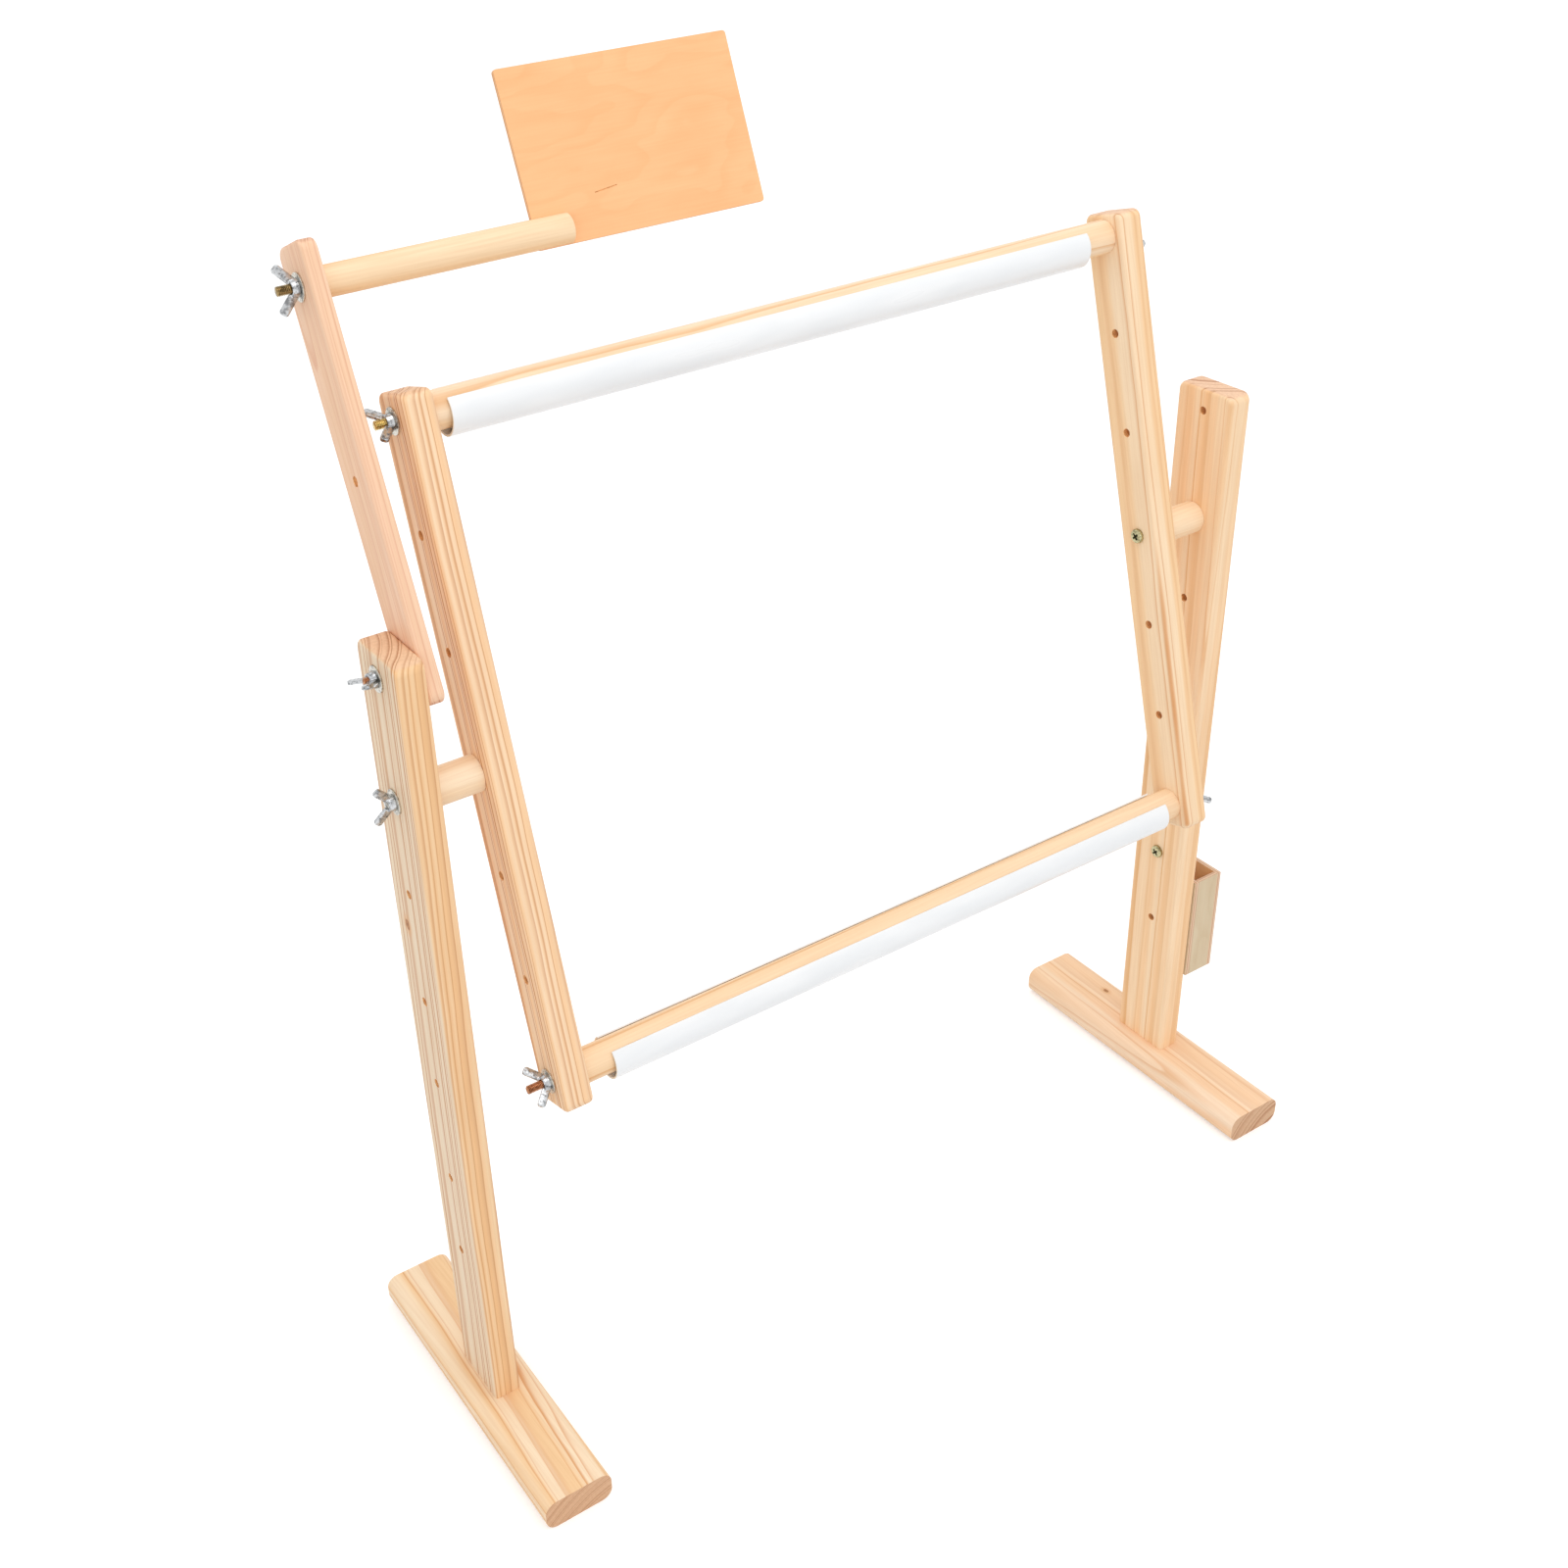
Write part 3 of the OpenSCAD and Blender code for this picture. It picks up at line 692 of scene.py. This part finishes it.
# ---- Rollers ----
# Two round pine bars between the arms, on which the cloth is wound. A stud is screwed into each
# end, so the roller turns and is held by the wing nuts outside the arms.


def lean_back(across, up, degrees, pivot_height):
    """A point on a part that leans back: across the stand, and up the part from its pivot."""
    lean = math.radians(degrees)
    return Vector((across, up * math.sin(lean), pivot_height + up * math.cos(lean)))


def on_frame(across, up):
    """A point on the leaning frame: across the stand, and up from its pivot."""
    return lean_back(across, up, frame_lean, frame_pivot)


for node, up, seed, early in (
    ("top_roller", top_hole, 7.0, "#FCE4C6"),
    ("bottom_roller", bottom_hole, 9.6, "#FCE2C2"),
):
    middle = on_frame(0, up)
    roller_pine = planed_pine(
        node + " pine", (0, middle.y + 0.035, middle.z - 0.03), (0, 90.3, 0.6), ring=0.008,
        seed=seed, early=early, band="#FAD8AE", late="#E6B27C",
    )
    ends = on_frame(-arm_inside, up), on_frame(arm_inside, up)
    roller = round_bar(node + "_dowel", *ends, 0.012, roller_pine)
    ease(roller, 0.0006)
    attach(roller, node)
    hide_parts(node)


# ---- Cloth clips ----
# Two white plastic channels, drawn with an open side, that snap over the rollers to hold the cloth.
# They hang on the rollers by their two rounded lips. The ends are sawn and a little creamier.

clip_length, clip_wall = 0.501, 0.0015
wall_radius, hangs_down, open_angle = 0.01445, 0.00198, 38.6


def white_plastic(name, base, shade, roughness):
    """Glossy white plastic with faint drawn lines along it and a soft unevenness in the gloss."""
    finish, tree, shader = new_finish(name)
    place = tree.nodes.new("ShaderNodeTexCoord").outputs["Object"]
    drawn = clouds(tree, place, (3, 900, 900), 1.0, 2.0)
    patch = clouds(tree, place, (14, 60, 60), 4.0, 2.0)
    colour = blend_colours(tree, ramp(tree, patch, 0.3, 0.7), base, shade)
    tree.links.new(colour, shader.inputs["Base Color"])
    gloss = ramp(tree, patch, 0.3, 0.7, roughness, roughness + 0.1)
    tree.links.new(gloss, shader.inputs["Roughness"])
    shader.inputs["Specular IOR Level"].default_value = 0.5
    emboss(tree, shader, step(tree, "ADD", drawn, patch), 0.25, 0.00008)
    return finish


drawn_white = white_plastic("white plastic", "#F3F4F5", "#ECEEF0", 0.26)
sawn_white = white_plastic("sawn white plastic", "#F1E9D6", "#E4D9C0", 0.5)


def make_clip(node, up, shift):
    """A channel: an open arc drawn out along the roller, given its wall and then its round lips."""
    start = on_frame(shift - clip_length / 2, up) - Vector((0, 0, hangs_down))
    bpy.ops.mesh.primitive_circle_add(
        vertices=120, radius=wall_radius, location=start, rotation=(0, math.radians(90), 0)
    )
    clip = bpy.context.object
    clip.name = clip.data.name = node + "_channel"
    bpy.ops.object.transform_apply()
    lip_height = wall_radius * math.cos(math.radians(open_angle))
    bpy.ops.object.mode_set(mode="EDIT")
    choose(clip, "VERT", lambda vertex: vertex.co.z - start.z > lip_height)
    bpy.ops.mesh.delete(type="VERT")
    bpy.ops.mesh.select_all(action="SELECT")
    bpy.ops.mesh.extrude_region_move(TRANSFORM_OT_translate={"value": (clip_length, 0, 0)})
    bpy.ops.mesh.select_all(action="SELECT")
    bpy.ops.mesh.normals_make_consistent(inside=False)
    bpy.ops.object.mode_set(mode="OBJECT")
    wall = clip.modifiers.new("wall", "SOLIDIFY")
    wall.thickness = clip_wall
    wall.offset = 0
    bpy.ops.object.modifier_apply(modifier="wall")
    ease(clip, 0.00055, 3)
    clip.data.materials.append(drawn_white)
    clip.data.materials.append(sawn_white)
    for face in clip.data.polygons:
        face.material_index = 1 if abs(face.normal.x) > 0.9 else 0
    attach(clip, node)
    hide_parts(node)


make_clip("top_clip", top_hole, -0.008)
make_clip("bottom_clip", bottom_hole, 0.0035)


# ---- Pivot screws, studs and box screw ----
# Steel machine screws with pan heads and a cross recess, and threaded studs without a head, all in
# yellowish zinc plate. The studs are screwed into the ends of the rollers and of the small dowel.
# Their bare ends show worn plate: brass yellow, dark brass or copper.

pitch, root_radius, crest_radius = 0.001, 0.0023, 0.00298
holder_inside = 0.31395


def yellow_plate(name, base, shade, roughness):
    """Yellow chromate on steel: a warm metal with darker, duller marks, partly painted reflection.
    """
    return zinc_plate(name, base, shade, roughness, 700.0)


yellow_zinc = yellow_plate("yellow zinc plate", "#C4BC94", "#5C5636", 0.16)
# A near-black copy of the yellow plate for the faces of the cross recess: painted shade for the
# dark inside of the recess.
painted_recess_shade = yellow_plate("plate with painted recess shade", "#4A452E", "#26231A", 0.5)


def set_out(piece, name, place, side, turn=0.0):
    """Moves a part from the middle of the floor to its place. Side is 1 for right, -1 for left.

    Turn is how far it is screwed round.
    """
    piece.name = piece.data.name = name
    piece.rotation_euler = (side * math.radians(turn), 0, 0 if side > 0 else math.pi)
    piece.location = place
    take_up(piece)
    bpy.ops.object.transform_apply()
    return piece


def thread(start, turns):
    """A rolled thread round the X axis: a three-sided ridge wound up and closed at both ends."""
    bpy.ops.mesh.primitive_circle_add(vertices=3, radius=root_radius)
    ridge = bpy.context.object
    profile = ((0.04, root_radius), (0.5, crest_radius), (0.96, root_radius))
    for vertex, (share, high) in zip(ridge.data.vertices, profile):
        vertex.co = (start + share * pitch, 0, high)
    winding = ridge.modifiers.new("wind", "SCREW")
    winding.axis = "X"
    winding.screw_offset = pitch
    winding.iterations = turns
    winding.steps = winding.render_steps = 20
    bpy.ops.object.modifier_apply(modifier="wind")
    bpy.ops.object.mode_set(mode="EDIT")
    bpy.ops.mesh.select_mode(type="EDGE")
    bpy.ops.mesh.select_all(action="DESELECT")
    bpy.ops.mesh.select_non_manifold()
    bpy.ops.mesh.fill_holes(sides=4)
    bpy.ops.mesh.select_all(action="SELECT")
    bpy.ops.mesh.normals_make_consistent(inside=False)
    bpy.ops.object.mode_set(mode="OBJECT")
    return ridge


def rod(start, end, thread_start):
    """A threaded rod along X with a chamfered end. The foot of the thread is buried in its core."""
    ridge = thread(thread_start, round((end - 0.0004 - thread_start) / pitch))
    core = lathe((start, 0, 0), (end, 0, 0), 0.00245, 40)
    round_edges(core, 0.0006, 2, lambda edge: all(v.co.x > end - hair for v in edge.verts))
    take_up(ridge, core)
    bpy.ops.object.join()
    bpy.ops.object.shade_smooth_by_angle(angle=math.radians(40))
    return core


def pan_head(finish):
    """A pan head on the left of the middle, with a tapered cross recess painted near black as
    shade.
    """
    head = lathe((-0.00325, 0, 0), (0, 0, 0), 0.0055, 48)
    round_edges(head, 0.0019, 6, lambda edge: all(v.co.x < -0.003 for v in edge.verts))
    round_edges(head, 0.0003, 2, lambda edge: all(v.co.x > -hair for v in edge.verts))
    head.data.materials.append(finish)
    deepest = -0.0014
    for turn in (45, 135):
        corners = (-0.0042, -0.0036, -0.0009), (deepest, 0.0036, 0.0009)
        # The cutter leaves its near-black finish, painted shade, on the faces of the recess.
        blade = blank("recess", *corners, painted_recess_shade)
        bpy.ops.object.mode_set(mode="EDIT")
        choose(blade, "FACE", lambda face: face.normal.x > 0.9)
        bpy.ops.transform.resize(value=(1, 0.45, 0.6), center_override=(deepest, 0, 0))
        bpy.ops.object.mode_set(mode="OBJECT")
        blade.rotation_euler.x = math.radians(turn)
        bpy.ops.object.transform_apply()
        cut(head, blade)
    ease(head, 0.00012)
    return head


def machine_screw(name, place, side, long, finish):
    """A pan head screw whose head sits on a face at a place."""
    head = pan_head(finish)
    shank = rod(-0.0005, long, long - 0.0074)
    shank.data.materials.append(finish)
    take_up(shank, head)
    bpy.ops.object.join()
    return set_out(head, name, place, side)


def stud(name, place, side, inside, out, thread_start, finish):
    """A threaded stud in the end of a roller. The end of the roller is its place."""
    piece = rod(-inside, out, thread_start)
    piece.data.materials.append(finish)
    return set_out(piece, name, place, side)


dull_zinc = zinc_plate("dull zinc plate", "#B9B7AE", "#6B675C", 0.3)
copper_plate = yellow_plate("worn copper plate", "#C48E68", "#7C4C32", 0.2)
brass_plate = yellow_plate("worn brass plate", "#DCC584", "#7A6430", 0.16)
dark_brass = yellow_plate("dark brass plate", "#A89064", "#42331E", 0.2)

for node, place, side, long, finish in (
    ("left_pivot_bolt", (-arm_inside, 0, frame_pivot), -1, 0.082, dull_zinc),
    ("right_pivot_bolt", (arm_inside, 0, frame_pivot), 1, 0.082, yellow_zinc),
    ("pattern_pivot_bolt", (-holder_inside, 0, pattern_pivot), -1, 0.03955, copper_plate),
    ("box_bolt", (post_inside, 0, box_hole), 1, 0.0325, yellow_zinc),
):
    screw = machine_screw(node.replace("bolt", "screw"), place, side, long, finish)
    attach(screw, "stand")
    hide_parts(node)

for node, body, up, side, out, finish in (
    ("top_left_stud", "top_roller", top_hole, -1, 0.0335, brass_plate),
    ("top_right_stud", "top_roller", top_hole, 1, 0.0335, yellow_zinc),
    ("bottom_left_stud", "bottom_roller", bottom_hole, -1, 0.0375, copper_plate),
    ("bottom_right_stud", "bottom_roller", bottom_hole, 1, 0.0335, yellow_zinc),
):
    roller_end = on_frame(side * arm_inside, up)
    piece = stud(node.replace("stud", "rod"), roller_end, side, 0.032, out, 0.019, finish)
    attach(piece, body)
    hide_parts(node)


# ---- Washers ----
# Round steel washers, punched from sheet so that one rim is a little rounded, in bright zinc plate.
# One lies between each wing nut and the wood. The plate's warm tint is painted reflection of that
# wood.

washer_thickness = 0.0012
holder_lean, dowel_hole, holder_outside = 22, 0.224, 0.32445
tab_outside = 0.349


def make_washer():
    """A washer on the right of the middle: a disc inset on both faces and bridged into a ring."""
    ring = lathe((0, 0, 0), (washer_thickness, 0, 0), 0.0085, 64)
    bpy.ops.object.mode_set(mode="EDIT")
    choose(ring, "FACE", lambda face: abs(face.normal.x) > 0.9)
    bpy.ops.mesh.inset(thickness=0.0053)
    bpy.ops.mesh.bridge_edge_loops()
    bpy.ops.object.mode_set(mode="OBJECT")
    ring.data.materials.append(zinc_warmed_by_painted_reflection)
    ease(ring, 0.0003, 3)
    return ring


def copy_of(pattern):
    """A copy with its own mesh."""
    take_up(pattern)
    bpy.ops.object.duplicate()
    return bpy.context.object


def on_holder(across, up):
    """A point on the leaning pattern holder: across the stand, and up from its pivot."""
    return lean_back(across, up, holder_lean, pattern_pivot)


seats = {
    "left_pivot": ("stand", Vector((-post_outside, 0, frame_pivot)), -1, 102),
    "right_pivot": ("stand", Vector((post_outside, 0, frame_pivot)), 1, 70),
    "top_left": ("frame", on_frame(-arm_outside, top_hole), -1, 23),
    "top_right": ("frame", on_frame(arm_outside, top_hole), 1, 60),
    "bottom_left": ("frame", on_frame(-arm_outside, bottom_hole), -1, 38),
    "bottom_right": ("frame", on_frame(arm_outside, bottom_hole), 1, 20),
    "pattern_pivot": ("stand", Vector((-post_outside, 0, pattern_pivot)), -1, 164),
    "pattern_dowel": ("pattern_arm", on_holder(-holder_outside, dowel_hole), -1, 81),
    "box": ("stand", Vector((tab_outside, 0, box_hole)), 1, 85),
}
first_washer = make_washer()
for seat, (body, place, side, turn) in seats.items():
    washer = set_out(copy_of(first_washer), seat + "_ring", place, side, turn)
    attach(washer, body)
    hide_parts(seat + "_washer")
bpy.data.objects.remove(first_washer)


# ---- Wing nuts ----
# Cast wing nuts with a low round hub and two broad straight wings in a V, tumbled until no edge
# is sharp, then zinc plated and left with a bright, speckled skin. The dark of the speckle is
# partly painted reflection of dark things round the nuts.

# A dark shade colour and a coarser speckle: partly the plate's own speckle, partly painted
# reflection.
cast_zinc = zinc_plate("speckled zinc plate with painted reflection", "#CACCCE", "#3C3F42", 0.12, 620.0)
hub_height, voxel = 0.0045, 0.00025


def make_wing_nut():
    """A wing nut on the right of the middle: hub and wings joined, bored, and rounded all over."""
    bpy.ops.mesh.primitive_cone_add(
        vertices=48,
        radius1=0.0055,
        radius2=0.0047,
        depth=hub_height,
        location=(hub_height / 2, 0, 0),
        rotation=(0, math.radians(90), 0),
    )
    nut = bpy.context.object
    bpy.ops.object.transform_apply()
    nut.data.materials.append(cast_zinc)
    for hand in (1, -1):
        wing = blank("wing", (-0.00812, -0.00275, -0.00115), (0.00812, 0.00275, 0.00115), cast_zinc)
        round_edges(wing, 0.0018, 5, lambda edge: runs(edge, 2))
        wing.rotation_euler.z = hand * math.radians(47)
        wing.location = (0.00619, hand * 0.00743, 0)
        bpy.ops.object.transform_apply()
        bpy.ops.object.mode_set(mode="EDIT")
        bpy.ops.mesh.select_all(action="SELECT")
        bpy.ops.mesh.bisect(
            plane_co=(0.0004, 0, 0), plane_no=(1, 0, 0), clear_inner=True, use_fill=True
        )
        bpy.ops.object.mode_set(mode="OBJECT")
        weld = nut.modifiers.new("weld", "BOOLEAN")
        weld.operation = "UNION"
        weld.object = wing
        weld.solver = "EXACT"
        bpy.context.view_layer.objects.active = nut
        bpy.ops.object.modifier_apply(modifier="weld")
        bpy.data.objects.remove(wing)
    bpy.ops.mesh.primitive_cylinder_add(
        vertices=40, radius=0.0031, depth=0.04, rotation=(0, math.radians(90), 0)
    )
    bore = bpy.context.object
    bore.data.materials.append(cast_zinc)
    cut(nut, bore)
    skin = nut.modifiers.new("skin", "REMESH")
    skin.mode = "VOXEL"
    skin.voxel_size = voxel
    bpy.ops.object.modifier_apply(modifier="skin")
    tumbled = nut.modifiers.new("tumbled", "SMOOTH")
    tumbled.factor = 0.5
    tumbled.iterations = 8
    bpy.ops.object.modifier_apply(modifier="tumbled")
    lighter = nut.modifiers.new("lighter", "DECIMATE")
    lighter.ratio = 0.2
    bpy.ops.object.modifier_apply(modifier="lighter")
    take_up(nut)
    bpy.ops.object.shade_smooth()
    nut.data.materials.clear()
    nut.data.materials.append(cast_zinc)
    return nut


first_nut = make_wing_nut()
for seat, (body, place, side, turn) in seats.items():
    on_washer = place + Vector((side * washer_thickness, 0, 0))
    nut = set_out(copy_of(first_nut), seat + "_wing_nut", on_washer, side, turn)
    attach(nut, seat + "_nut")
    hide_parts(seat + "_nut")
bpy.data.objects.remove(first_nut)


# ---- Pattern holder ----
# A thin flat arm of closer-grained, pinker wood on the inner face of the left post. A round pine
# dowel stands out from its upper end, sawn down the middle of its far end to grip the board.

fine_wood = planed_pine(
    "pattern arm wood", (-0.37, 0.01, 0.6185), (-holder_lean, 0.6, 0), ring=0.0021, seed=9.0,
    early="#F8D2B6", band="#F5CAAC", late="#E9B696", end="#E8B89A", wander=0.002,
)
holder = blank(
    "pattern_arm_bar",
    (-holder_outside, -0.0195, -0.023),
    (-holder_inside, 0.0195, 0.248),
    fine_wood,
)
round_over(holder, 0.007, 0.002)
holder_middle = -(holder_outside + holder_inside) / 2
drill(holder, [(holder_middle, 0, height) for height in (0, 0.112, dowel_hole)])
ease(holder)
tilt_back(holder, holder_lean, pattern_pivot)
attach(holder, "pattern_arm")
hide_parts("pattern_arm")

dowel_pine = planed_pine(
    "pattern dowel pine", (0, 0.12, 0.8), (0, 90.4, 0.8), ring=0.009, seed=8.0,
    early="#FCE2BE", band="#F7CC9A", late="#E0A76E",
)
dowel_ends = (-holder_inside, 0, dowel_hole), (-0.14995, 0, dowel_hole)
dowel = round_bar("pattern_dowel_bar", *dowel_ends, 0.00925, dowel_pine)
kerf = blank("kerf", (-0.174, -0.00155, 0.2), (-0.14, 0.00155, 0.25), drilled_pine)
cut(dowel, kerf)
ease(dowel, 0.0004)
tilt_back(dowel, holder_lean, pattern_pivot)
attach(dowel, "pattern_board")
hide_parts("pattern_dowel")

dowel_end = on_holder(-holder_inside, dowel_hole)
dowel_rod = stud("pattern_dowel_rod", dowel_end, -1, 0.026, 0.0245, 0.009, dark_brass)
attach(dowel_rod, "pattern_board")
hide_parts("pattern_dowel_stud")


# ---- Board ----
# A small sheet of three-ply birch that carries the pattern, set in the sawn end of the dowel.
# Its faces are warm and nearly plain, and its sawn edges show the darker middle ply.


def build_plies():
    """Plywood whose sheet lies flat in X and Y: a quiet face figure, and plies on the edges."""
    tree, given, made = new_group(
        "plies",
        ("Ply Thickness", "Seed"),
        ("Figure", "Fibre", "Pores", "Layer", "Edge", "Height"),
    )
    vector, seed = given["Vector"], given["Seed"]

    # The figure on the face: contour lines of a slow bend, and soft patches.
    bend = clouds(tree, vector, (9, 22, 9), seed, 2.0)
    contour = step(tree, "FRACT", step(tree, "MULTIPLY", bend, 9.0))
    stops = ramp(tree, contour, 0.9, 1.0, 1.0, 0.0)
    line = step(tree, "MULTIPLY", ramp(tree, contour, 0.3, 0.9), stops)
    patch = clouds(tree, vector, (14, 40, 14), step(tree, "ADD", seed, 5.0), 3.0)
    patch = step(tree, "MULTIPLY", ramp(tree, patch, 0.3, 0.7), 0.55)
    figure = step(tree, "ADD", step(tree, "MULTIPLY", line, 0.45), patch)
    tree.links.new(figure, made["Figure"])
    fibre = ramp(tree, clouds(tree, vector, (22, 700, 700), seed, 3.0), 0.3, 0.7)
    tree.links.new(fibre, made["Fibre"])
    pores = clouds(tree, vector, (260, 2600, 2600), step(tree, "ADD", seed, 2.0), 1.0)
    pores = ramp(tree, pores, 0.68, 0.8)
    tree.links.new(pores, made["Pores"])

    # The layers on the edge: each second ply is crossed and shows darker.
    ply = step(tree, "DIVIDE", split(tree, vector)[2], given["Ply Thickness"])
    turned = step(tree, "MODULO", step(tree, "ADD", ply, 100.5), 2.0)
    crossed = step(tree, "ABSOLUTE", step(tree, "SUBTRACT", turned, 1.0))
    tree.links.new(ramp(tree, crossed, 0.42, 0.58), made["Layer"])
    facing_out = step(tree, "ABSOLUTE", split(tree, given["Normal"])[2])
    tree.links.new(ramp(tree, facing_out, 0.5, 0.75, 1.0, 0.0), made["Edge"])
    height = step(tree, "SUBTRACT", step(tree, "MULTIPLY", fibre, 0.5), pores)
    tree.links.new(height, made["Height"])
    return tree


plies = build_plies()


def plywood(name, middle, turn, ply, seed, face, figure, cross, edge):
    """Sanded plywood. Middle is a point halfway through the sheet, turn lays the sheet flat."""
    finish, tree, shader = new_finish(name)
    numbers = {"Ply Thickness": ply, "Seed": seed}
    sheet = lay_group(tree, plies, middle, turn, numbers)
    sanded = blend_colours(tree, sheet["Figure"], face, figure, 0.6)
    sanded = blend_colours(tree, sheet["Fibre"], sanded, cross, 0.10)
    sanded = blend_colours(tree, sheet["Pores"], sanded, cross, 0.25)
    sawn = blend_colours(tree, sheet["Layer"], edge, cross)
    sawn = blend_colours(tree, sheet["Fibre"], sawn, cross, 0.25)
    wood = blend_colours(tree, sheet["Edge"], sanded, sawn)
    tree.links.new(wood, shader.inputs["Base Color"])
    tree.links.new(ramp(tree, sheet["Fibre"], 0, 1, 0.5, 0.62), shader.inputs["Roughness"])
    shader.inputs["Specular IOR Level"].default_value = 0.3
    emboss(tree, shader, sheet["Height"], 0.3, 0.0001)
    return finish


birch = plywood(
    "birch plywood", on_holder(-0.091, dowel_hole), (90 - holder_lean, 0, 0), 0.001, 2.0,
    face="#FBC28D", figure="#F4B27A", cross="#D99A66", edge="#EFC496",
)
sheet_corners = (-0.17345, -0.0015, 0.2145), (-0.00945, 0.0015, 0.3205)
board = blank("pattern_board_sheet", *sheet_corners, birch)
round_edges(board, 0.0022, 5, lambda edge: runs(edge, 1))

# A short crack in the front face, just past the end of the dowel.
bpy.ops.mesh.primitive_cube_add(
    size=1,
    location=(-0.119, -0.0019, 0.2418),
    rotation=(0, math.radians(-6.5), 0),
    scale=(0.016, 0.002, 0.0004),
)
cut_with_last(board)
ease(board, 0.0003)
tilt_back(board, holder_lean, pattern_pivot)
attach(board, "pattern_board")
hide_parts("pattern_board")


# ---- Storage box ----
# A narrow open box of thin plywood, glued and pinned at its corners. Its back panel runs up to a
# tab with one hole, by which a screw holds it on the outer face of the right post.

box_floor, box_rim, tab_height, tab_half_width = 0.100, 0.198, 0.0455, 0.020
box_side, hollow_side = 0.027, 0.023
hollow_end, box_end = 0.371, 0.375
flat, on_side, on_front = (0, 0, 0), (0, 90, 0), (90, -90, 0)


def box_panel(node, low, high, turn, seed, inside):
    """One sawn panel of the box: greenish outside; the face that looks inside takes a warmer copy
    of the plywood, painted warm bounce light from the wood.
    """
    middle = (Vector(low) + Vector(high)) / 2
    pale = plywood(
        node + " plywood", middle, turn, 0.0013, seed,
        face="#DBC9AA", figure="#CDB793", cross="#CFA282", edge="#E8CDB0",
    )
    # A warmer, lighter copy of the same plywood for the inner faces: painted bounce light from the
    # wood around them.
    warm = plywood(
        node + " ply with painted bounce light", middle, turn, 0.0013, seed + 0.5,
        face="#FAD0A0", figure="#F3BE88", cross="#C98F6C", edge="#ECC6A8",
    )
    panel = blank(node + "_panel", low, high, pale)
    panel.data.materials.append(warm)
    if node == "box_back":
        bpy.ops.object.mode_set(mode="EDIT")
        for y in (-tab_half_width, tab_half_width):
            bpy.ops.mesh.select_all(action="SELECT")
            bpy.ops.mesh.bisect(plane_co=(0, y, 0), plane_no=(0, 1, 0))
        choose(
            panel, "FACE",
            lambda face: face.normal.z > 0.9 and abs(face.calc_center_median().y) < 0.01,
        )
        bpy.ops.mesh.extrude_region_move(TRANSFORM_OT_translate={"value": (0, 0, tab_height)})
        bpy.ops.object.mode_set(mode="OBJECT")
        drill(panel, [(middle.x, 0, box_hole)])
    # The faces that look inside, below the rim, take the copy with painted bounce light.
    take_up(panel)
    bpy.ops.object.mode_set(mode="EDIT")
    choose(
        panel, "FACE",
        lambda face: face.normal.dot(Vector(inside)) > 0.9
        and face.calc_center_median().z < box_rim,
    )
    panel.active_material_index = 1
    bpy.ops.object.material_slot_assign()
    bpy.ops.object.mode_set(mode="OBJECT")
    ease(panel, 0.0003)
    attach(panel, "stand")
    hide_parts(node)


for node, low, high, turn, seed, inside in (
    (
        "box_back", (post_outside, -box_side, box_floor), (tab_outside, box_side, box_rim),
        on_side, 1.0, (1, 0, 0),
    ),
    (
        "box_outer", (hollow_end, -box_side, box_floor), (box_end, box_side, box_rim),
        on_side, 2.0, (-1, 0, 0),
    ),
    (
        "box_front", (tab_outside, -box_side, box_floor), (hollow_end, -hollow_side, box_rim),
        on_front, 3.0, (0, 1, 0),
    ),
    (
        "box_rear", (tab_outside, hollow_side, box_floor), (hollow_end, box_side, box_rim),
        on_front, 4.0, (0, -1, 0),
    ),
    (
        "box_bottom", (tab_outside, -hollow_side, box_floor), (hollow_end, hollow_side, 0.104),
        flat, 5.0, (0, 0, 1),
    ),
):
    box_panel(node, low, high, turn, seed, inside)
